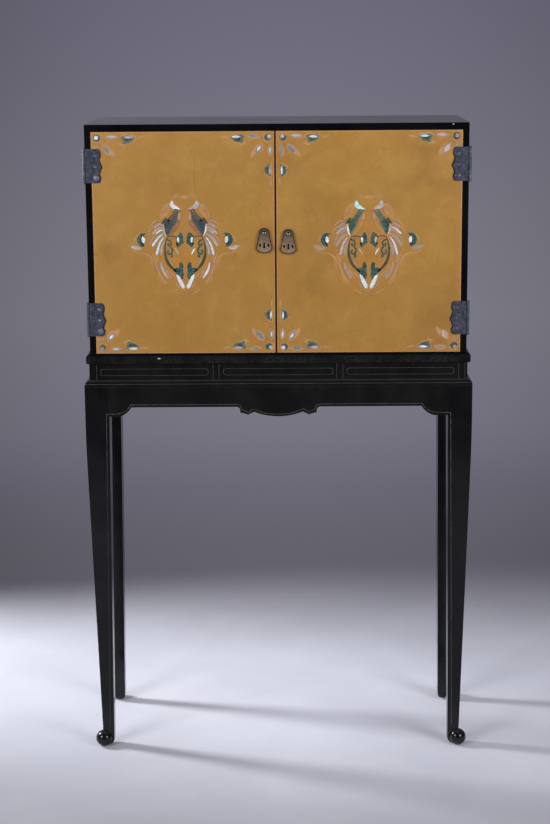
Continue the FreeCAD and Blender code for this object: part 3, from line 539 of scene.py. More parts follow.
# The finish of each solid part, by how its name starts; the first that fits counts.
solidFinishes = (
    ("top_moulding_", "fleckedLacquer"), ("leg_", "legLacquer"), ("ball_foot_", "legLacquer"),
    ("apron_", "standLacquer"), ("shoulder_moulding_", "standLacquer"), ("waist_rail_", "standLacquer"),
    ("stand_board", "plainWood"), ("glue_blocks", "plainWood"), ("carcase_dowels", "plainWood"),
    ("fixing_screws", "plainSteel"), ("lock_case", "plainSteel"),
    ("carcase_hinge_leaf_", "gunmetalPlain"), ("carcase_hinge_nails", "gunmetalPlain"),
    ("carcase_", "carcaseLacquer"), ("back_panel", "carcaseLacquer"),
    ("shelf_pins", "dullBrass"), ("shelf_", "redLacquer"), ("door_stops", "redLacquer"),
    # the left door's hinge nails take the lighter gunmetal, a painted highlight, and the right door's take
    # the plate's own metal
    ("door_hinge_leaf_", "gunmetalPlate"), ("door_left_hinge_nails", "paintedHighlightGunmetal"),
    ("door_right_hinge_nails", "gunmetalPlate"), ("hinge_pins", "gunmetalPlain"),
    ("door_left", "goldLeft"), ("door_right", "goldRight"),
    ("pull_plate_", "agedBronze"), ("pull_stud_", "studMetal"),
    ("lock_bolt", "dullBrass"), ("flush_bolt_", "dullBrass"), ("bolt_plates", "dullBrass"),
)


def finishSolids():
    for name, solid in cadNodes.items():
        finish = next(finishes[kind] for start, kind in solidFinishes if name.startswith(start))
        if not solid.material_slots:
            solid.data.materials.append(finish)
        for place in solid.material_slots:
            place.material = finish


finishSolids()
print("solids finished")


# Drawing on flat faces, in millimetres.

# A smooth line through points; a point given twice in a row makes a corner.
def smoothLine(points, closed=False, steps=6):
    count = len(points)
    line = []
    for index in range(count if closed else count - 1):
        if closed:
            before, start, end, after = (points[(index + k) % count] for k in (-1, 0, 1, 2))
        else:
            start, end = points[index], points[index + 1]
            before, after = points[max(index - 1, 0)], points[min(index + 2, count - 1)]
        if start == end:
            continue
        for step in range(steps):
            t = step / steps
            line.append(tuple(
                0.5 * (2 * b + (c - a) * t + (2 * a - 5 * b + 4 * c - d) * t * t
                       + (3 * b - a - 3 * c + d) * t ** 3)
                for a, b, c, d in zip(before, start, end, after)
            ))
    if not closed:
        line.append(tuple(points[-1]))
    return line


def smoothLoop(points):
    return smoothLine(points, closed=True)


def roundLoop(radius, steps=18):
    return [
        (radius * math.cos(2 * math.pi * k / steps), radius * math.sin(2 * math.pi * k / steps))
        for k in range(steps)
    ]


def shifted(loop, x, z, mirrored=False):
    side = -1 if mirrored else 1
    return [(x + side * u, z + w) for u, w in loop]


def reflected(line):
    return [(-u, w) for u, w in reversed(line)]


def turnedLeft(loop):
    area = sum(a[0] * b[1] - b[0] * a[1] for a, b in zip(loop, loop[1:] + loop[:1]))
    return loop[::-1] if area < 0 else loop


# A loop that turns left, moved inwards by a small distance.
def insetLoop(loop, distance):
    result = []
    for index, here in enumerate(loop):
        before, after = loop[index - 1], loop[(index + 1) % len(loop)]
        first = Vector((here[0] - before[0], here[1] - before[1])).normalized()
        second = Vector((after[0] - here[0], after[1] - here[1])).normalized()
        inward = Vector((-first[1] - second[1], first[0] + second[0])).normalized()
        result.append((here[0] + inward[0] * distance, here[1] + inward[1] * distance))
    return result


# The line moved sideways by a distance.
def beside(line, distance):
    moved = []
    for k, point in enumerate(line):
        before, after = line[max(k - 1, 0)], line[min(k + 1, len(line) - 1)]
        run = math.hypot(after[0] - before[0], after[1] - before[1])
        moved.append((point[0] - (after[1] - before[1]) / run * distance,
                      point[1] + (after[0] - before[0]) / run * distance))
    return moved


# The width of a stroke from its start, at share 0, to its end, at share 1.
def evenWidth(value):
    return lambda share: value


# Wide in the middle and pointed at both ends.
def leafWidth(value):
    return lambda share: value * max(math.sin(math.pi * min(max(share, 0.02), 0.98)) ** 0.8, 0.06)


# Narrow at the root and round near the tip.
def featherWidth(value):
    def width(share):
        tip = 1 if share < 0.9 else 0.55 if share < 1 else 0.25
        return value * (0.18 + 0.82 * share ** 0.8) * tip
    return width


# The two sides of a stroke along a line. At a sharp bend each keeps its distance from the line.
def strokeSides(line, width, closed):
    if closed:
        line = line + line[:1]
    left, right = [], []
    last = len(line) - 1
    for index, here in enumerate(line):
        before = line[-2] if closed and index == 0 else line[max(index - 1, 0)]
        after = line[1] if closed and index == last else line[min(index + 1, last)]
        first, second = Vector(here) - Vector(before), Vector(after) - Vector(here)
        first = (first if first.length > 1e-9 else second).normalized()
        second = (second if second.length > 1e-9 else first).normalized()
        side = Vector((-first[1] - second[1], first[0] + second[0])).normalized()
        reach = width(index / last) / 2 / max(side.dot(Vector((-first[1], first[0]))), 0.4)
        left.append((here[0] + side[0] * reach, here[1] + side[1] * reach))
        right.append((here[0] - side[0] * reach, here[1] - side[1] * reach))
    return left, right


# The faces between two rings that have as many points.
def bridge(mesh, first, second):
    for k in range(len(first)):
        after = (k + 1) % len(first)
        mesh.faces.new((first[k], first[after], second[after], second[k]))


def closeEnds(mesh, rings):
    mesh.faces.new(rings[0])
    mesh.faces.new(rings[-1][::-1])


sunk = 0.06  # how deep shapes and strokes reach into the face that carries them


# A thin raised shape with softened edges. place(u, w, lift) gives a point of the carrying face.
def raisedShape(mesh, place, loop, height, soften):
    loop = turnedLeft(loop)
    rings = []
    for outline, lift in ((loop, -sunk), (loop, height * 0.55), (insetLoop(loop, soften), height)):
        rings.append([mesh.verts.new(place(u, w, lift)) for u, w in outline])
    bridge(mesh, rings[0], rings[1])
    bridge(mesh, rings[1], rings[2])
    bmesh.ops.triangulate(mesh, faces=[mesh.faces.new(rings[0][::-1]), mesh.faces.new(rings[2])])


# A thin raised band with softened edges between the two sides of a stroke.
def raisedStroke(mesh, place, sides, height, closed):
    soft = 0.15
    left, right = (side[:-1] for side in sides) if closed else sides
    rings = []
    for (a, b), (c, d) in zip(left, right):
        rings.append([mesh.verts.new(point) for point in (
            place(a, b, -sunk), place(a, b, height * 0.5),
            place(a + (c - a) * soft, b + (d - b) * soft, height),
            place(c + (a - c) * soft, d + (b - d) * soft, height),
            place(c, d, height * 0.5), place(c, d, -sunk),
        )])
    for first, second in zip(rings, rings[1:] + rings[:1] if closed else rings[1:]):
        bridge(mesh, first, second)
    if not closed:
        closeEnds(mesh, rings)


# A shallow dome with a flat foot.
def raisedDome(mesh, place, x, z, radius, lift):
    rings = []
    for share in (1.0, 0.96, 0.8, 0.58, 0.32):
        height = -0.1 if share == 1.0 else lift * math.sqrt(1 - share * share)
        ring = shifted(roundLoop(radius * share, 20), x, z)
        rings.append([mesh.verts.new(place(u, w, height)) for u, w in ring])
    for outer, inner in zip(rings, rings[1:]):
        bridge(mesh, outer, inner)
    top = mesh.verts.new(place(x, z, lift))
    for k, corner in enumerate(rings[-1]):
        mesh.faces.new((corner, rings[-1][(k + 1) % len(rings[-1])], top))
    mesh.faces.new(rings[0][::-1])


def finishPiece(mesh, name, finish, body, smooth=False):
    bmesh.ops.recalc_face_normals(mesh, faces=mesh.faces)
    data = bpy.data.meshes.new(name)
    mesh.to_mesh(data)
    mesh.free()
    if smooth:
        for face in data.polygons:
            face.use_smooth = True
    piece = bpy.data.objects.new(name, data)
    bpy.context.scene.collection.objects.link(piece)
    data.materials.append(finishes[finish])
    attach(piece, body)


# Gathers the shapes and strokes of each finish on one body into one piece.
class Pieces:
    def __init__(self, body, slot, place):
        self.body, self.slot, self.place = body, slot, place
        self.parts = {}

    def add(self, finish, make, *values):
        self.parts.setdefault(finish, []).append((make, values))

    def shape(self, finish, loop, height=0.22, soften=0.12):
        self.add(finish, raisedShape, loop, height, soften)

    def stroke(self, finish, line, width, height=0.12, closed=False):
        self.add(finish, raisedStroke, strokeSides(line, width, closed), height, closed)

    def dome(self, finish, x, z, radius, lift):
        self.add(finish, raisedDome, x, z, radius, lift)

    def build(self, prefix, domed=()):
        for finish, parts in self.parts.items():
            mesh = bmesh.new()
            for make, values in parts:
                make(mesh, self.place, *values)
            finishPiece(mesh, prefix + "_" + finish, finish, self.body, finish in domed)


# A face that looks to the front, at a depth.
def onPlane(plane):
    return lambda u, w, lift: Vector((u, plane - lift, w)) * mm


# A face that looks to one side, at a distance from the middle.
def onSidePlane(side, plane):
    return lambda u, w, lift: Vector((side * (plane + lift), u, w)) * mm


def onDoor(side):
    return Pieces("door_" + side, "gold_lacquer", onPlane(faceAt("door_" + side, 0, 1)))


def onBody(place):
    return Pieces("stand_and_carcase", "black_lacquer", place)


# The medallions: two crested birds face each other over a looped stem. Half of each is drawn,
# with u negative, and mirrored for the other half.
medallion = {
    "crest": [(-29, 87.5), (-28.6, 93), (-26, 97.2), (-23.6, 97), (-21.5, 91.5), (-16.5, 87),
        (-7.5, 80.5), (-7.5, 80.5), (-17, 79.6), (-25, 82.8)],
    "broadBird": [(-12, 77), (-13.5, 80), (-17, 82), (-20.5, 80), (-25, 72), (-31, 65), (-38, 59),
        (-42, 55), (-42, 50), (-41, 43), (-40, 36), (-37, 29), (-34, 26), (-34, 26), (-31, 34), (-27, 41),
        (-22, 48), (-18, 54), (-15, 60), (-14, 66), (-12.5, 72)],
    "slimBird": [(-12.5, 76), (-14.5, 80), (-19, 81), (-23, 76), (-27, 70), (-33, 63), (-38, 58),
        (-40, 50), (-40, 42), (-38, 33), (-36, 27), (-36, 27), (-33, 32), (-29, 40), (-25, 48), (-22, 55),
        (-20, 61), (-17, 66), (-14, 70)],
    "wing": [(-36, 62), (-40.5, 62), (-49, 50), (-49, 50), (-44, 51), (-40, 53)],
    "beak": [(-12.5, 80), (-6, 78), (-6, 78), (-12, 76)],
    "throat": [(-12, 73), (-8.5, 69), (-8.5, 62), (-12, 59), (-13.8, 66)],
    "breast": [(-13, 58), (-9, 57), (-8.5, 51), (-13, 43), (-20, 35), (-27, 28), (-33, 24), (-33, 24),
        (-31, 31), (-26, 39), (-20.5, 48), (-16, 55)],
    "belly": [(-12, 60), (-15.5, 50), (-23, 38), (-32, 28)],
    "strip": [(-44.5, 50), (-43, 42), (-41.5, 34), (-38, 26)],
    "perch": [(-35, 24.5), (-27, 26), (-19, 24.5)],
    "loopShade": [(-37, 19), (-39, 6), (-38.5, -10), (-35, -22), (-28, -24), (-24, -14), (-25, 0),
        (-28, 14)],
    "cheekLeaf": [(-29, 84), (-36, 82), (-44, 73), (-49, 62), (-49, 62), (-42, 64), (-34, 71)],
    "perchPetal": [(-33, 21.5), (-26.5, 20), (-20, 20.5)],
    "innerLeaf": [(-9, 34), (-5.5, 30), (-4, 23), (-4, 16), (-2.5, 12), (-7, 9), (-13.5, 3), (-16, 5),
        (-14.5, 10), (-17, 14), (-17, 19), (-20, 24.5), (-20, 24.5), (-14, 26), (-11.5, 30)],
    "innerCore": [(-16.5, 21), (-14.5, 13), (-12, 14.5), (-11.5, 20), (-14, 24.5)],
    "curl": [(-36.5, 19), (-32.5, 17.5), (-28.5, 14), (-28.5, 8.5), (-32.5, 6.5), (-35, 9.5),
        (-32.5, 11.5)],
    "lowerCurl": [(-30.5, 4), (-26.5, 0), (-26.5, -6), (-30, -10.5), (-34.5, -9.5), (-35.5, -5),
        (-32.5, -3.5)],
    "curlFoot": [(-29, -10), (-26.5, -13), (-27.5, -17.5)],
    "bud": [(-30, -13.5), (-26, -14), (-25.5, -17.5), (-29.5, -17.5)],
    "spark": [(-21, 1), (-17, -4), (-13, -12)],
    "stem": [(-35, 25), (-38, 18), (-40, 9), (-41, 0), (-41, -9), (-39.5, -18), (-35.5, -28), (-30, -36),
        (-24, -42.5), (-18, -47)],
    "lowerLeaf": [(-8.5, -31), (-12, -32.5), (-12.5, -37), (-14, -39.5), (-18, -38.5), (-24, -41),
        (-25, -44), (-21, -48), (-16, -52), (-11.5, -57), (-7, -62.5), (-5, -60), (-6, -53), (-5, -45),
        (-4, -37), (-5, -32.5)],
    "lowerKnob": [(-5.5, -33), (-6, -29.5), (-9.5, -27.5), (-12.5, -30), (-12, -33.5)],
    "drop": [(-18.5, -52), (-18.5, -52), (-12.5, -56), (-8.5, -63), (-4.5, -71), (-2, -77.5), (-4, -81.5),
        (-8.5, -79), (-13.5, -69), (-17, -60)],
    "sideCrescent": [(-77, 31), (-77, 31), (-87, 32.5), (-95, 26.5), (-97.5, 17), (-93, 8), (-84, 4.5),
        (-83.5, 8.5), (-89, 13), (-89.5, 21.5), (-85, 27)],
    "sideCore": [(-86, 26), (-81.5, 21), (-82, 13.5), (-85.5, 12), (-88, 16.5), (-88, 22)],
    "sidePetal": [(-89, 3), (-96, 4.2), (-104, 6.5), (-112, 6), (-112, 6), (-105, 0.5), (-97, -2),
        (-91, -0.5)],
    "crown": [(-9.5, 104), (-4, 108), (4, 108), (9.5, 104), (3, 101), (-3, 101)],
    "feathers": {
        "feather1": ([(-45, 51), (-54, 49), (-62, 42)], 2.6),
        "feather2": ([(-45, 44), (-55, 40), (-66, 30)], 3.4),
        "feather3": ([(-44, 38), (-50, 37.5), (-59, 31)], 3.2),
        "feather4": ([(-44, 31), (-56, 20), (-67, 5)], 4.4),
        "feather5": ([(-43, 24), (-52, 9), (-58.5, -13)], 4.6),
        "feather6": ([(-43, 15), (-47, 2), (-49, -13)], 2.8),
    },
    "plume": [(-50, -27), (-47.5, -40), (-42, -51), (-35, -61)],
    "glow": [
        ([(-29, 88), (-39, 80), (-47, 69), (-50, 60)], 6.5), ([(-62, 48), (-70, 38), (-74, 28)], 3.5),
        ([(-90, -7), (-76, -12), (-68, -20), (-62, -34)], 4.0),
        ([(-57, -38), (-51, -56), (-38, -72)], 4.5), ([(-66, -8), (-61, -20), (-56, -28)], 3.5),
        ([(-19, -60), (-27, -52), (-38, -44), (-43, -30)], 3.5), ([(-26, 92), (-33, 90), (-40, 84)], 4.0),
        ([(-50, 30), (-58, 24), (-64, 15)], 3.0),
    ],
    "mauve": [
        ([(-48, 58), (-57, 57), (-65, 51)], 2.0), ([(-57, 31), (-66, 21), (-72, 8)], 2.4),
        ([(-52, 2), (-56, -12), (-57, -27)], 2.2), ([(-60, -20), (-59, -36), (-53, -50)], 2.2),
        ([(-27, -61), (-35, -52), (-41, -40)], 2.2), ([(-21, -67), (-17, -75), (-12, -81)], 1.8),
        ([(-24, 30), (-27, 33), (-31, 40)], 1.6), ([(-33, -21), (-29, -29), (-23, -36)], 1.6),
        ([(-12, 22), (-11, 14), (-13, 8)], 1.2), ([(-93, 29), (-101, 22), (-103, 12)], 1.8),
    ],
    "wisps": [
        [(-6, 113), (-18, 109), (-28, 101)], [(-35, 95), (-44, 84), (-50, 75)],
        [(-58, 62), (-66, 51), (-76, 43)], [(-110, -1), (-99, -7), (-86, -11)],
        [(-73, -20), (-68, -31), (-64, -44)], [(-58, -55), (-50, -66), (-40, -75)],
        [(-31, -82), (-20, -89), (-10, -94)], [(-22, 101), (-14, 107), (-6, 105)],
    ],
    "arcs": [
        [(-17, -84), (-10, -90), (0, -91)], [(-15, -91), (-8, -97), (0, -98)],
        [(-3, 113), (-11, 111), (-19, 105)], [(-46, 56), (-57, 54), (-66, 47)],
        [(-48, 47), (-59, 42), (-71, 32)], [(-47, 34), (-60, 25), (-71, 11)],
        [(-45, 27), (-56, 13), (-64, -7)], [(-44, 19), (-52, 2), (-56, -19)],
        [(-53, -24), (-51, -40), (-45, -54), (-36, -67)],
        [(-47, -27), (-43, -40), (-37, -50), (-29, -59)], [(-30, 86), (-41, 78), (-49, 67), (-53, 57)],
        [(-58, 46), (-69, 38), (-77, 26)], [(-33, 83), (-43, 73), (-48, 63)],
        [(-24, -58), (-31, -51), (-38, -40)],
    ],
    "backPanel": [(-19, 79), (-24, 72), (-31, 63), (-36, 58.5), (-33, 55), (-26, 60), (-20, 67),
        (-16.5, 74)],
    "wingPanel": [(-32, 60), (-38, 56), (-41, 50), (-39.5, 40), (-37, 31), (-33.5, 38), (-29, 46),
        (-27.5, 54)],
    "birdMarks": [
        [(-19, 74), (-24, 64), (-27, 54)], [(-23, 71), (-30, 60), (-33, 48)],
        [(-28, 66), (-35, 56), (-37, 44)],
    ],
    "places": {"left": (-188.0, 1075.0), "right": (186.0, 1073.0)}, "eye": (-16.5, 77.5), "height": 0.24,
    # the edge and the faint halo of shapes and strokes: how far they stand out, and how high
    "shapeEdge": (0.7, 0.12), "shapeHalo": (1.6, 0.08), "strokeEdge": (1.2, 0.11), "strokeHalo": (3.2, 0.07),
}
# The parts of each half that are cut from the palest shell; the others are rose.
palestShell = {
    ("left", False): ("crest", "feather3", "feather4", "feather5", "drop", "innerCore"),
    ("left", True): ("strip", "feather5", "plume", "drop", "spark", "innerCore"),
    ("right", False): ("strip", "drop", "innerCore"),
    ("right", True): ("feather2", "feather5", "drop", "spark"),
}
# The parts that are dimmer than rose, in both halves of the right door.
dimShell = ("feather1", "feather3", "feather4", "feather6", "plume")


# The stem swells towards its foot.
def stemWidth(share):
    return 2.7 + 3.3 * math.sin(math.pi * min(share, 0.93) ** 1.7)


def makeHalfMedallion(door, side, mirrored):
    art = medallion
    x, z = art["places"][side]

    def cut(key):
        if (key, side, mirrored) == ("crest", "right", False):
            return "shellAqua"
        if key in palestShell[side, mirrored]:
            return "shellWhite"
        return "shellMauve" if side == "right" and key in dimShell else "shellRose"

    # Each shape and feather may have an edge round it, and a faint halo round that.
    def shape(finish, key, height=art["height"], outlined=True, edge="fineOlive"):
        loop = turnedLeft(shifted(smoothLoop(art[key]), x, z, mirrored))
        door.shape(finish, loop, height)
        if outlined:
            for ring, (width, lift) in ((edge, art["shapeEdge"]), ("duskTan", art["shapeHalo"])):
                door.shape(ring, insetLoop(loop, -width), lift, 0.05)

    def stroke(finish, line, width, height=art["height"], outlined=False):
        line = shifted(smoothLine(line), x, z, mirrored)
        door.stroke(finish, line, width, height)
        if outlined:
            for ring, (more, lift) in (("shellGrey", art["strokeEdge"]), ("duskTan", art["strokeHalo"])):
                door.stroke(ring, line, lambda share, more=more: width(share) + more, lift)

    shape("glowOrange", "cheekLeaf", 0.09, False)
    shape("duskOlive", "loopShade", 0.05, False)
    for line, width in art["glow"]:
        stroke("duskTan", line, leafWidth(width), 0.06)
    for line in art["wisps"]:
        stroke("duskTan", line, leafWidth(2.0), 0.06)
    for line in art["arcs"]:
        stroke("fineOlive", line, leafWidth(0.9), 0.1)
    for line, width in art["mauve"]:
        stroke("shellMauve", line, leafWidth(width), 0.14)
    for key, (line, width) in art["feathers"].items():
        stroke(cut(key), line, featherWidth(width), outlined=True)
        stroke("duskOlive", beside(line, 3.0), leafWidth(1.7), 0.1)
        stroke("shellMauve", beside(line, -2.9), leafWidth(1.3), 0.13)
    stroke(cut("plume"), art["plume"], leafWidth(4.4), outlined=True)
    shape(cut("crest"), "crest", edge="shellGrey")
    shape("stemOlive", "wing", 0.2, False)
    if side == "left":
        shape("shellSmoke", "broadBird", 0.3)
        shape("breastBrown", "breast")
        shape("backBrown", "backPanel", 0.36, False)
        shape("shellSlate", "wingPanel", 0.36, False)
    else:
        shape("shellMoss", "slimBird", 0.3)
        shape("shellTeal", "wingPanel", 0.36, False)
        stroke("duskTan", art["belly"], leafWidth(2.4))
    shape("shellMauve", "throat", 0.2, False)
    shape("beakRed", "beak", 0.26, False)
    stroke(cut("strip"), art["strip"], leafWidth(3.2), 0.32)
    for line in art["birdMarks"]:
        stroke("stemOlive", line, leafWidth(0.8), 0.42)
    eye = shifted([art["eye"]], x, z, mirrored)[0]
    door.shape("fineTan", shifted(roundLoop(1.0, 10), *eye), 0.38, 0.1)
    stroke("stemOlive", art["perch"], evenWidth(2.2))
    stroke("breastBrown", art["perchPetal"], leafWidth(2.6), 0.16)
    stroke("duskTan", art["stem"], evenWidth(6.5), 0.07)
    stroke("stemOlive", art["stem"], stemWidth)
    stroke("fineOlive", art["curl"], evenWidth(4.2), 0.09)
    stroke("fineOlive", art["lowerCurl"], evenWidth(4.4), 0.09)
    stroke("stemOlive", art["curl"], evenWidth(2.7))
    stroke("stemOlive", art["lowerCurl"], evenWidth(2.9))
    stroke("stemOlive", art["curlFoot"], evenWidth(2.3))
    shape("beakRed" if side == "left" and not mirrored else "stemOlive", "bud", 0.2, False)
    stroke(cut("spark"), art["spark"], leafWidth(3.0))
    shape("shellTeal", "innerLeaf")
    shape(cut("innerCore"), "innerCore", 0.34, False)
    shape("shellTeal", "lowerLeaf")
    shape("stemOlive", "lowerKnob", 0.3, False)
    shape(cut("drop"), "drop", edge="shellGrey")
    shape("shellTeal", "sideCrescent")
    shape("shellWhite", "sideCore", 0.3, False)
    shape("shellRose" if side == "left" else "shellMauve", "sidePetal", edge="duskOlive")


def makeMedallion(side):
    door = onDoor(side)
    for mirrored in (False, True):
        makeHalfMedallion(door, side, mirrored)
    door.shape("duskTan", shifted(smoothLoop(medallion["crown"]), *medallion["places"][side]), 0.12)
    door.build("medallion_" + side)


makeMedallion("left")
makeMedallion("right")
print("medallions made")

# Ornament in the corners of the doors: each place is measured from the corner, u into the door
# and w away from its top or bottom edge, and each size is a length and a width.
cornerOrnament = {
    "disc": {"place": (13.2, 12.4), "radius": 7.8, "core": (-2.0, -1.8), "coreRadius": 4.2},
    "longPetal": {"place": (41, 9.5), "size": (26, 7.6), "turn": 0},
    "longLeaf": {"place": (75, 15.5), "size": (29, 17), "turn": 0, "flip": -1, "sliver": (1.0, -4.8)},
    "slantPetal": {"place": (31.5, 35), "size": (23, 13), "turn": 54},
    "ghostPetal": {"place": (42, 41), "size": (24, 10), "turn": 58, "core": (14.4, 2.0)},
    "sidePetal": {"place": (8.8, 38), "size": (22, 7.6), "turn": 90},
    "sideLeaf": {"place": (13, 78), "size": (27, 13.5), "turn": 90, "flip": 1, "sliver": (-3.6, 0)},
    "faintPetals": [((16, 6), (62, 25), 20), ((18, 5), (100, 12), -10)],
    "hingePetals": [((9, 2.6), (u, 29), 90) for u in (6, 10, 14)],
    "sideSpark": ((6, 4), (9.5, 54), 90), "sideFaint": ((18, 4), (8, 102), 86),
    "tendrils": [[(19, 18), (23, 13), (27, 12)], [(16, 22), (19, 27), (22, 28)],
                 [(55, 13), (58, 16), (61, 16)]],
    "tendrilWidth": 1.2, "rightShift": 3.0, "height": 0.24,
}


def petalLoop(length, width):
    half = length / 2
    return smoothLoop([
        (-half, 0), (-half, 0), (-half * 0.35, width * 0.42), (half * 0.4, width * 0.45),
        (half, width * 0.08), (half * 0.45, -width * 0.42), (-half * 0.3, -width * 0.42),
    ])


# A leaf along u with its flat side towards +w, deepest near its root.
def lobedLoop(length, width):
    half = length / 2
    return smoothLoop([
        (-half, width * 0.3), (-half * 0.6, width * 0.48), (0, width * 0.5), (half * 0.6, width * 0.45),
        (half, width * 0.32), (half, width * 0.32), (half * 0.75, -width * 0.05),
        (half * 0.3, -width * 0.32), (-half * 0.25, -width * 0.44), (-half * 0.7, -width * 0.5),
        (-half * 0.82, -width * 0.15),
    ])


# A half moon along u, with its flat side towards +w.
def moonLoop(length, width):
    half = length / 2
    return smoothLoop([
        (-half, width * 0.4), (-half, width * 0.4), (0, width * 0.5), (half, width * 0.4),
        (half, width * 0.4), (half * 0.72, -width * 0.12), (half * 0.42, -width * 0.46),
        (half * 0.05, -width * 0.4), (-half * 0.35, -width * 0.5), (-half * 0.75, -width * 0.1),
    ])


def makeCorner(door, cornerX, cornerZ, inX, inZ, chance):
    art = cornerOrnament
    hingeSide = abs(cornerX) > 100
    # beside the meeting edge of the right door the ornament stands a little further in
    shift = art["rightShift"] if inX > 0 and not hingeSide else 0.0

    # every piece lies a little off its place, as cut by hand
    def placed(loop, spot, turn=0.0):
        wobble = (chance.uniform(-0.8, 0.8), chance.uniform(-0.8, 0.8))
        angle = math.radians(turn + chance.uniform(-4, 4))
        sine, cosine = math.sin(angle), math.cos(angle)
        u, w = spot[0] + wobble[0], spot[1] + wobble[1]
        return [
            (cornerX + inX * (u + a * cosine - b * sine), cornerZ + inZ * (w + a * sine + b * cosine))
            for a, b in loop
        ]

    def put(finish, loop, spot, turn=0.0, height=art["height"]):
        door.shape(finish, placed(loop, spot, turn), height)

    def plainPetal(finish, size, spot, turn, height=art["height"]):
        put(finish, petalLoop(*size), spot, turn, height)

    def cutPetal(part, chanceOfPale=0.45, shift=0.0):
        (length, width), turn = part["size"], part["turn"]
        spot = (part["place"][0] + shift, part["place"][1])
        plainPetal("duskTan", (length + 4.5, width + 4), spot, turn, 0.08)
        plainPetal("duskOlive", (length + 1, width + 1), spot, turn, 0.12)
        plainPetal("shellMauve", (length, width), spot, turn)
        main = "shellGrey" if chance.random() < 0.5 else "shellRose"
        plainPetal(main, (length * 0.84, width * 0.7), spot, turn, 0.28)
        pale = "shellWhite" if chance.random() < chanceOfPale else main
        plainPetal(pale, (length * 0.56, width * 0.38), spot, turn, 0.34)

    def cutLeaf(part, outline, shift=0.0):
        (length, width), turn, flip = part["size"], part["turn"], part["flip"]
        u, w = part["place"][0] + shift, part["place"][1]
        put("duskTan", outline(length + 4, flip * (width + 4)), (u, w), turn, 0.08)
        put("shellMoss", outline(length, flip * width), (u, w), turn)
        put("shellSlate", outline(length * 0.62, flip * width * 0.55), (u, w), turn, 0.28)
        sliver = (u + part["sliver"][0], w + part["sliver"][1])
        plainPetal("shellGrey", (length * 0.84, width * 0.42), sliver, turn, 0.3)
        pale = "shellWhite" if chance.random() < 0.7 else "shellRose"
        plainPetal(pale, (length * 0.62, width * 0.28), sliver, turn, 0.36)

    # the discs in the right door's outer corners are dull, and so is the left door's lower core
    disc = art["disc"]
    u, w = disc["place"][0] + shift * 0.6, disc["place"][1]
    put("duskTan", roundLoop(disc["radius"] + 1.8), (u, w), height=0.08)
    dull = hingeSide and cornerX > 0
    put("shellSmoke" if dull else "shellMoss", roundLoop(disc["radius"]), (u, w))
    put("shellSmoke" if dull else "shellSlate", roundLoop(disc["radius"] * 0.72), (u, w), height=0.28)
    core = "shellWhite" if hingeSide or chance.random() < 0.7 else "shellRose"
    if dull:
        core = "shellMauve"
    elif hingeSide and inZ > 0:
        core = "shellGrey"
    put(core, roundLoop(disc["coreRadius"], 14), (u + disc["core"][0], w + disc["core"][1]), height=0.32)
    cutPetal(art["longPetal"])
    cutLeaf(art["longLeaf"], lobedLoop)
    ghost = art["ghostPetal"]
    plainPetal("duskTan", ghost["size"], ghost["place"], ghost["turn"], 0.07)
    plainPetal("shellMauve", ghost["core"], ghost["place"], ghost["turn"], 0.12)
    cutPetal(art["slantPetal"], 0.25 if hingeSide else 0.5)
    for size, spot, turn in art["faintPetals"]:
        plainPetal("duskTan", size, spot, turn, 0.07)
    if hingeSide:
        for size, spot, turn in art["hingePetals"]:
            plainPetal("shellMauve", size, spot, turn)
    else:
        cutPetal(art["sidePetal"], shift=shift)
        cutLeaf(art["sideLeaf"], moonLoop, shift)
        plainPetal("fadedRed", *art["sideSpark"], 0.16)
        plainPetal("duskTan", *art["sideFaint"], 0.07)
    for line in art["tendrils"]:
        door.stroke("fineOlive", placed(smoothLine(line), (0, 0)), leafWidth(art["tendrilWidth"]), 0.12)


def makeCorners():
    chance = random.Random(11)
    for side in ("left", "right"):
        door = onDoor(side)
        low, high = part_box("door_" + side)
        for cornerX, inX in ((low[0] / mm, 1), (high[0] / mm, -1)):
            for cornerZ, inZ in ((low[2] / mm, 1), (high[2] / mm, -1)):
                makeCorner(door, cornerX, cornerZ, inX, inZ, chance)
        door.build("corners_" + side)


makeCorners()
print("corner ornament made")

# Gilt lines along the aprons and down the legs. The leg lines keep an inset from the legs' inner
# edges, which slant away from the straight block.
giltLines = {
    "width": 0.85, "height": 0.1,
    "drop": [(0, 732.2), (14.8, 732.8), (29.5, 735.0), (43, 740.0), (51, 742.7), (56, 740.8),
             (62.3, 736.2), (67, 739.2), (73, 740.8), (76, 745.0), (79, 750.4), (84, 753.2)],
    "bracket": [(301.5, 753.2), (301.5, 753.2), (304.5, 747.8), (309.5, 742.3), (316, 738.2),
                (324, 735.2), (332, 734.0)],
    "frontShift": -4.2, "sideMiddle": (0, 753.2), "sideBack": 245, "legTop": (355.6, 734.0),
    "legHeights": (734.0, 724, 714, 694, 674, 654, 634, 560, 480, 400, 320, 240, 160, 90, 44),
    "legInset": (6.0, 8.5), "legFade": {"left": 0.35, "right": 0.8},
    "innerEdges": (350, 105), "innerSlants": (9.1, 14), "innerTop": 727,
}
# The legs' outer faces: straight down to the block's end, then a blend into the taper.
legFaces = {"blockEnd": 714, "blendEnd": 634, "frontTaper": 11.0, "sideTaper": 18.4}
bothSides = ((-1, "left"), (1, "right"))


# How far a leg's outer face stands back from the straight block at a height.
def legSetback(height, taper):
    top, bottom = legFaces["blockEnd"], legFaces["blendEnd"]
    middle = (top + bottom) / 2
    if height > top:
        return 0.0
    if height > bottom:
        share = (top - height) / (top - bottom)
        return taper / middle * (middle - bottom) * share * share
    return taper / middle * (middle - height)


def onLegFront(side):
    front = faceAt("apron_front", 0, 1)
    return lambda u, w, lift: Vector((side * u, front + legSetback(w, legFaces["frontTaper"]) - lift, w)) * mm


def onLegSide(side):
    out = faceAt("apron_right", 1, 0)
    return lambda u, w, lift: Vector((side * (out - legSetback(w, legFaces["sideTaper"]) + lift), u, w)) * mm


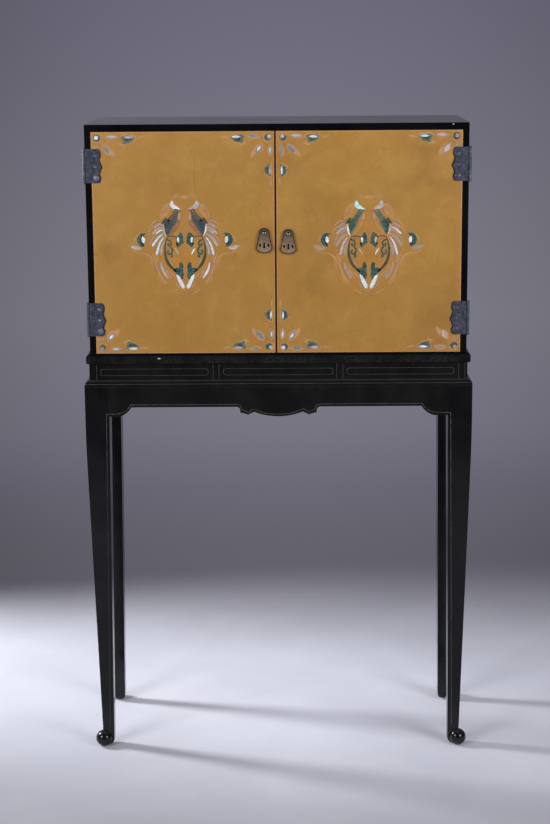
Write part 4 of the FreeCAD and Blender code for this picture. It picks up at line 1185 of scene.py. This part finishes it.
# Full at the top, and worn down to a share of its width lower on the leg.
def fadingWidth(value, fade):
    return lambda share: value * (1 - (1 - fade) * min(max((share - 0.25) * 3, 0), 1))


def makeApronLines():
    look = giltLines
    width = evenWidth(look["width"])
    drop, bracket = smoothLine(look["drop"], steps=5), smoothLine(look["bracket"], steps=5)
    left, right = (
        drop + [(u + shift, w) for u, w in bracket] + [look["legTop"]]
        for shift in (-look["frontShift"], look["frontShift"])
    )
    front = onBody(onPlane(faceAt("apron_front", 0, 1)))
    front.stroke("agedGilt", reflected(left[1:]) + right, width, look["height"])
    front.build("giltApron")
    half = [(u - look["sideBack"], w) for u, w in bracket + [look["legTop"]]]
    for side, name in bothSides:
        lines = onBody(onSidePlane(side, faceAt("apron_right", 1, 0)))
        lines.stroke("agedGilt", reflected(half) + [look["sideMiddle"]] + half, width, look["height"])
        lines.build("giltSideApron_" + name)


def makeLegLines():
    look = giltLines
    heights = look["legHeights"]
    for side, name in bothSides:
        front, flank = [], []
        for height in heights:
            share = (heights[0] - height) / (heights[0] - heights[-1])
            inset = look["legInset"][0] * (1 - share) + look["legInset"][1] * share
            innerX, innerY = (
                edge + (look["innerTop"] - height) * slant / look["innerTop"]
                for edge, slant in zip(look["innerEdges"], look["innerSlants"])
            )
            front.append((innerX + inset, height))
            flank.append((-(innerY + inset), height))
        width = fadingWidth(look["width"], look["legFade"][name])
        for line, place, label in (
            (front, onLegFront(side), "giltLeg_"), (flank, onLegSide(side), "giltLegSide_"),
        ):
            pieces = onBody(place)
            pieces.stroke("agedGilt", line, width, look["height"])
            pieces.build(label + name)


# Line panels and pairs of upright lines on the waist.
waistLines = {
    "panels": [(-366.2, -144.8), (-113, 112.2), (142.4, 361.8)], "panelHeights": (813.2, 826.6),
    "notch": (2.6, 1.56), "uprights": (-374.8, -134.6, -122.2, 120.6, 133.4, 371.9, 384.8),
    "uprightHeights": (804.4, 837.6), "width": 0.7, "height": 0.1,
    "sidePanels": [(-121, -4.5), (4.5, 121)], "sideUprights": (-140, -129.5, 129.5, 140),
}


# The outline of a panel with its corners stepped in.
def panelLine(low, high, bottom, top, across, up):
    return [
        (high - across, bottom), (high - across, bottom + up), (high, bottom + up),
        (high, top - up), (high - across, top - up), (high - across, top),
        (low + across, top), (low + across, top - up), (low, top - up),
        (low, bottom + up), (low + across, bottom + up), (low + across, bottom),
    ]


def makeWaistLines():
    look = waistLines
    width = evenWidth(look["width"])
    faces = [("front", onPlane(faceAt("waist_rail_front", 0, 1)), look["panels"], look["uprights"])]
    for side, name in bothSides:
        place = onSidePlane(side, faceAt("waist_rail_right", 1, 0))
        faces.append((name, place, look["sidePanels"], look["sideUprights"]))
    for name, place, panels, uprights in faces:
        lines = onBody(place)
        for low, high in panels:
            line = panelLine(low, high, *look["panelHeights"], *look["notch"])
            lines.stroke("dimGilt", line, width, look["height"], closed=True)
        for spot in uprights:
            upright = [(spot, height) for height in look["uprightHeights"]]
            lines.stroke("dimGilt", upright, width, look["height"])
        lines.build("giltWaist_" + name)


# Two lines round the front and sides, on the round of the shoulder, each at an angle up from
# level. The round's centre stands out from the corner, and its second number is its height.
shoulderLines = {
    "upper": {"angle": 63.0, "width": 1.2}, "lower": {"angle": 22.8, "width": 0.8},
    "corner": (387.5, 142.5), "centre": (0.2445, 791.8176), "radius": 12.39, "raised": 0.1, "sunk": -0.2,
}


def makeShoulderLines():
    look = shoulderLines
    (cornerX, cornerY), (centreOut, centreUp) = look["corner"], look["centre"]
    for name in ("upper", "lower"):
        turn, width = math.radians(look[name]["angle"]), look[name]["width"]
        out, up = math.cos(turn), math.sin(turn)
        section = []
        for along, lift in ((-0.5, "sunk"), (-0.5, "raised"), (0.5, "raised"), (0.5, "sunk")):
            reach, slide = look["radius"] + look[lift], along * width
            section.append((centreOut + out * reach - up * slide, centreUp + up * reach + out * slide))
        mesh = bmesh.new()
        rings = []
        for sideX, sideY in ((-1, 1), (-1, -1), (1, -1), (1, 1)):
            rings.append([
                mesh.verts.new(Vector((sideX * (cornerX + o), sideY * (cornerY + o), z)) * mm)
                for o, z in section
            ])
        for first, second in zip(rings, rings[1:]):
            bridge(mesh, first, second)
        closeEnds(mesh, rings)
        finishPiece(mesh, "giltShoulder_" + name, "dimGilt", "stand_and_carcase")


makeApronLines()
makeLegLines()
makeWaistLines()
makeShoulderLines()
print("gilt lines made")

# Relief on the hinges' door leaves, drawn for the right door, from the middle of a hinge's height.
hingeRelief = {
    "heights": (1243.5, 930.0), "plane": -144.2, "bossX": 365.0, "bossHeight": 1.05,
    # the lowest boss of the left door's hinges is in the lighter metal, a painted highlight
    "bosses": ((-24, "paintedHighlightGunmetal", 5.6), (-2, "gunmetalPlain", 4.8), (20, "gunmetalPlain", 5.0)),
    "rim": [(380, 32.8), (380, 32.8), (362.2, 32.8), (358.2, 31.4), (357.0, 28.2), (356.2, 21),
            (358.6, 14), (356.4, 5), (353.7, -2), (356.4, -9), (358.6, -18), (356.2, -23),
            (357.0, -28.2), (358.2, -31.4), (362.2, -32.8), (372, -32.8)],
    "rimWidth": 2.415, "rimHeight": 0.2,
    "spine": [(371, -29), (374.5, -20), (369.5, -10), (373.5, 0), (369.5, 10), (374.5, 20), (371, 29)],
    "middleScrolls": [
        [(372.5, 3), (379, 6), (381.5, 1), (378, -3)],
        [(371, 2), (365, 7), (359.5, 3), (361.5, -2.5), (365.5, -1)], [(370, -6), (364, -8), (360, -11)],
    ],
    # drawn above the middle, and mirrored below it
    "innerScrolls": [
        [(374, 20), (379, 23), (381, 18), (377.5, 15.5)],
        [(370, 12), (365, 14), (361.5, 20), (365.5, 24), (368.5, 20)],
    ],
    "outerScrolls": [[(371, 27), (377, 29.5), (381, 28)], [(371, 27), (366, 29.5), (361, 28)]],
    "scrollWidth": 1.8, "scrollHeight": 0.35,
}


def aboveAndBelow(lines):
    return [[(u, turn * w) for u, w in line] for line in lines for turn in (1, -1)]


# A line of the drawing on the hinge of one side at a height.
def onHinge(line, side, base):
    return [(side * u, w + base) for u, w in smoothLine(line, steps=4)]


def makeHingeRelief():
    look = hingeRelief
    rimWidth, scrollWidth = leafWidth(look["rimWidth"]), leafWidth(look["scrollWidth"])
    scrolls = [look["spine"], *aboveAndBelow(look["innerScrolls"]), *look["middleScrolls"],
               *aboveAndBelow(look["outerScrolls"])]
    for side, name in bothSides:
        lines = Pieces("door_" + name, "gunmetal", onPlane(look["plane"]))
        for base in look["heights"]:
            rim = onHinge(look["rim"], side, base)
            # painted shade: the rim is a low raised band coloured near black for the shade of the leaf's
            # bevelled edge
            lines.stroke("paintedShadeGunmetal", rim, rimWidth, look["rimHeight"])
            for scroll in scrolls:
                line = onHinge(scroll, side, base)
                lines.stroke("gunmetalPlate", line, scrollWidth, look["scrollHeight"])
            for height, finish, radius in look["bosses"]:
                # the right door's bosses are all in the plain metal, without the painted highlight
                finish = finish if side < 0 else "gunmetalPlain"
                lines.dome(finish, side * look["bossX"], base + height, radius, look["bossHeight"])
        lines.build("hingeRelief_" + name, domed=("paintedHighlightGunmetal", "gunmetalPlain"))


# The pulls: a rim along the bell plate's outline, curls on the plate, and dark spots of painted shade on the
# door behind its drilled openings, each from the stud.
pullRelief = {
    "studs": {"left": (-26.7, 1106.4), "right": (22.3, 1103.9)},
    "half": [(0, 10.5), (5.6, 9.0), (9.3, 5.2), (10.6, 1.0), (11.0, -4), (12.8, -12), (15, -22),
             (16.8, -31.5), (13.6, -36.2), (8.0, -39.6), (0, -41.0)],
    "rimInset": 1.1, "rimWidth": 1.9, "rimHeight": 0.45, "curlHeight": 0.3,
    "curls": [
        ([(3.2, -8), (6.4, -13), (10, -19), (12.4, -25)], 1.05),
        ([(2.6, -12), (4.0, -15.5), (7.0, -18.5), (10, -20.5)], 0.9),
        ([(11.6, -30), (8.6, -33.4), (5.2, -35.2), (3.6, -35.6)], 1.05),
    ],
    "openings": [((-8.6, -25.5), (4.4, 7.4)), ((8.6, -25.5), (4.4, 7.4)), ((0, -24.5), (5.0, 10.5))],
}


def makePullRelief():
    look = pullRelief
    half = smoothLine(look["half"], steps=4)
    outline = turnedLeft(half + reflected(half[1:-1]))
    for name, (x, z) in look["studs"].items():
        relief = Pieces("pull_" + name, "bronze", onPlane(faceAt("pull_plate_" + name, 0, 1)))
        rim = shifted(insetLoop(outline, look["rimInset"]), x, z)
        relief.stroke("bronzeRim", rim, evenWidth(look["rimWidth"]), look["rimHeight"], closed=True)
        for mirrored in (True, False):
            for line, width in look["curls"]:
                line = shifted(smoothLine(line), x, z, mirrored)
                relief.stroke("agedBronze", line, leafWidth(width), look["curlHeight"])
        relief.build("pullRelief_" + name)
        door = onDoor(name)
        # painted shade: dark spots on the door where the openings look into the shade under the plate
        for (u, w), (width, height) in look["openings"]:
            loop = [(a * width / 2, b * height / 2) for a, b in roundLoop(1.0, 14)]
            door.shape("paintedHoleShade", shifted(loop, x + u, z + w), 0.06, 0.05)
        door.build("drilledSpots_" + name)


makeHingeRelief()
makePullRelief()
print("metal relief made")

# Small marks of age: a hair crack in the left door's gold, and two chips in the black lacquer.
ageMarks = {
    "crack": [(-166.6, 1268), (-166.2, 1254), (-167.0, 1236), (-166.3, 1218), (-166.9, 1202), (-166.4, 1190)],
    "chips": {
        "mouldingChip": {"node": "top_moulding_front", "place": (-245.2, 849.5), "size": (7.6, 3.0)},
        "topChip": {"node": "carcase_top", "place": (354.8, 1322.6), "size": (5.0, 2.4)},
    },
    "raised": 0.08, "soften": 0.05,
}


def flakeLoop(x, z, width, height, chance):
    steps = 9
    loop = []
    for k in range(steps):
        angle = 2 * math.pi * k / steps
        reach = chance.uniform(0.65, 1.0)
        loop.append((x + width / 2 * reach * math.cos(angle), z + height / 2 * reach * math.sin(angle)))
    return loop


def makeAgeMarks():
    look = ageMarks
    chance = random.Random(5)
    door = onDoor("left")
    door.stroke("darkCrack", smoothLine(look["crack"]), leafWidth(0.5), 0.05)
    door.build("hairCrack")
    for name, chip in look["chips"].items():
        pieces = onBody(onPlane(faceAt(chip["node"], 0, 1)))
        loop = flakeLoop(*chip["place"], *chip["size"], chance)
        pieces.shape("bareGround", loop, look["raised"], look["soften"])
        pieces.build(name)


makeAgeMarks()
print("age marks made")

# The camera: its turn, downward tilt and roll in degrees, and its focal length and shift in
# pixels of a picture whose long side is given.
cameraLook = {
    "place": Vector((25.921, -3857.467, 1531.664)) * mm, "turn": -0.497, "down": 12.133, "roll": 0.419,
    "focal": 1831.59, "longSide": 824, "sensor": 36.0, "shift": (-0.5, 0.5), "clip": (0.1, 60),
}


def makeCamera():
    look = cameraLook
    turn, down, roll = (math.radians(look[key]) for key in ("turn", "down", "roll"))
    forward = Vector((math.sin(turn) * math.cos(down), math.cos(turn) * math.cos(down), -math.sin(down)))
    right = Vector((math.cos(turn), -math.sin(turn), 0))
    up = right.cross(forward)
    rolledRight = right * math.cos(roll) - up * math.sin(roll)
    rolledUp = right * math.sin(roll) + up * math.cos(roll)
    data = bpy.data.cameras.new("studioCamera")
    data.sensor_width = look["sensor"]
    data.lens = look["sensor"] * look["focal"] / look["longSide"]
    data.shift_x, data.shift_y = (value / look["longSide"] for value in look["shift"])
    data.clip_start, data.clip_end = look["clip"]
    camera = bpy.data.objects.new("studioCamera", data)
    camera.matrix_world = Matrix((
        *((rolledRight[k], rolledUp[k], -forward[k], look["place"][k]) for k in range(3)), (0, 0, 0, 1),
    ))
    bpy.context.scene.collection.objects.link(camera)
    bpy.context.scene.camera = camera


makeCamera()
print("camera placed")

# The studio: a pale floor that fades into a grey background, in metres.
studio = {
    "paper": (tone(196, 197, 208), tone(202, 203, 213)), "radius": 5.0,
    # where the fade to the background starts and ends in depth, at the left and at the right
    "fadeStart": (0.545, 0.05), "fadeEnd": (1.025, 1.33), "fadeBow": (0.15, 0.3, -0.04),
    # painted light and shade on the floor: where it dims towards the viewer and where it brightens round the
    # middle
    "lastFloor": (3.2, 1.8), "paintedNearShade": (-0.78, -0.1, 0.55, 1.0), "paintedLeftShade": 0.45,
    "middle": (0.02, 0.22, 0.0), "paintedPoolReach": 0.5, "paintedPoolLight": 1.17,
    "ambient": (0.34, 0.34, 0.38, 1.0),
    # the background's tone by the angle up from level
    "background": [
        (-90, tone(52, 50, 58)), (-26, tone(76, 74, 84)), (-17.4, tone(99, 97, 108)),
        (-16.2, tone(100, 98, 108)), (-14.4, tone(107, 105, 118)), (-12.5, tone(120, 118, 131)),
        (-9.0, tone(126, 125, 137)), (-6.0, tone(122, 121, 133)), (-2.3, tone(115, 113, 127)),
        (1.0, tone(108, 105, 121)), (20, tone(96, 94, 108)), (90, tone(70, 70, 80)),
    ],
    "sideFall": (0.0, 0.024, 1.0, 0.78), "frontFall": (0.3, -0.3, 1.0, 0.35),
}
lamps = {
    "keyBox": {"place": (-2.35, 0.62, 1.6), "aim": (-0.1, 0.1, 0.2), "size": (0.36, 0.9), "power": 79},
    "frontLeftBox": {"place": (-2.3, -2.6, 1.9), "aim": (0, 0, 1.0), "size": (1.4, 1.4), "power": 60},
    "frontRightBox": {"place": (2.4, -2.5, 1.7), "aim": (0, 0, 1.0), "size": (1.4, 1.4), "power": 62},
}


def makeFloor():
    look = studio
    mesh = bmesh.new()
    bmesh.ops.create_circle(mesh, cap_ends=True, radius=look["radius"], segments=96)
    data = bpy.data.meshes.new("floor")
    mesh.to_mesh(data)
    mesh.free()
    floor = bpy.data.objects.new("floor", data)
    bpy.context.scene.collection.objects.link(floor)
    material, tree = newMaterial("paleFloor")
    place = objectPlace(tree)
    across, depth = (axesOf(place)[axis] for axis in "XY")
    start = remap(across, -1.0, 1.0, *look["fadeStart"])
    end = remap(across, -1.0, 1.0, *look["fadeEnd"])
    bowDepth, bowTop, bowLeast = look["fadeBow"]
    bow = minus(bowTop, times(across, across))
    bow = times(largest(bow, bowLeast), bowDepth)
    beyond = minus(minus(depth, start), bow)
    share = maths("DIVIDE", beyond, minus(end, start))
    last = remap(vectorMaths("LENGTH", "Value", place), *look["lastFloor"], smooth=True)
    seen = times(remap(share, 1.0, 0.0, smooth=True), last)
    # painted light and shade in the floor's colour: dimmer towards the viewer, sooner on the left, and a
    # touch brighter in the middle, for the lamps' pool of light
    leftward = times(smallest(across, 0.0), look["paintedLeftShade"])
    near = remap(plus(depth, leftward), *look["paintedNearShade"], smooth=True)
    middle = useGroup(tree, nearness, {"Centre": look["middle"], "Reach": look["paintedPoolReach"]})
    near = times(near, remap(middle["Near"], 0.0, 1.0, 1.0, look["paintedPoolLight"]))
    setShader(material, {
        "Base Color": dimmed(clouded(tree, look["paper"], 3.0)["Colour"], near),
        "Roughness": 0.55, "Specular IOR Level": 0.2,
    })
    clear, paper = addNode(tree, "BsdfTransparent"), tree.nodes["Principled BSDF"]
    blend = addNode(tree, "MixShader", {0: seen, 1: clear.outputs[0], 2: paper.outputs[0]})
    tree.links.new(blend.outputs[0], tree.nodes["Material Output"].inputs["Surface"])
    data.materials.append(material)


def makeWorld():
    look = studio
    world = bpy.data.worlds.new("studioWorld")
    bpy.context.scene.world = world
    world.use_nodes = True
    tree = world.node_tree
    axes = axesOf(addNode(tree, "TexCoord").outputs["Generated"])
    ramp = addNode(tree, "ValToRGB", {0: remap(axes["Z"], -1.0, 1.0)})
    stops = ramp.color_ramp.elements
    stops.remove(stops[1])
    for index, (degrees, colour) in enumerate(look["background"]):
        position = (math.sin(math.radians(degrees)) + 1) / 2
        stop = stops[0] if index == 0 else stops.new(position)
        stop.position = position
        stop.color = colour
    rays = addNode(tree, "LightPath").outputs
    seen = largest(rays["Is Camera Ray"], rays["Is Glossy Ray"])
    seen = largest(seen, rays["Is Transmission Ray"])
    # darker to the sides, and much darker in front, where reflections see the unlit room
    shade = remap(times(axes["X"], axes["X"]), *look["sideFall"])
    front = remap(axes["Y"], *look["frontFall"])
    front = addNode(tree, "Mix", {0: rays["Is Glossy Ray"], 2: 1.0, 3: front}).outputs[0]
    backdrop = dimmed(ramp.outputs["Color"], times(shade, front))
    colour = mixColour(seen, look["ambient"], backdrop)
    tree.links.new(colour, tree.nodes["Background"].inputs["Color"])


def makeLamps():
    for name, lamp in lamps.items():
        data = bpy.data.lights.new(name, "AREA")
        data.shape = "RECTANGLE"
        data.size, data.size_y = lamp["size"]
        data.energy = lamp["power"]
        light = bpy.data.objects.new(name, data)
        light.location = lamp["place"]
        aim = Vector(lamp["aim"]) - Vector(lamp["place"])
        light.rotation_euler = aim.to_track_quat("-Z", "Y").to_euler()
        bpy.context.scene.collection.objects.link(light)


makeFloor()
makeWorld()
makeLamps()
bpy.context.scene.view_settings.view_transform = "Standard"
print("studio made")
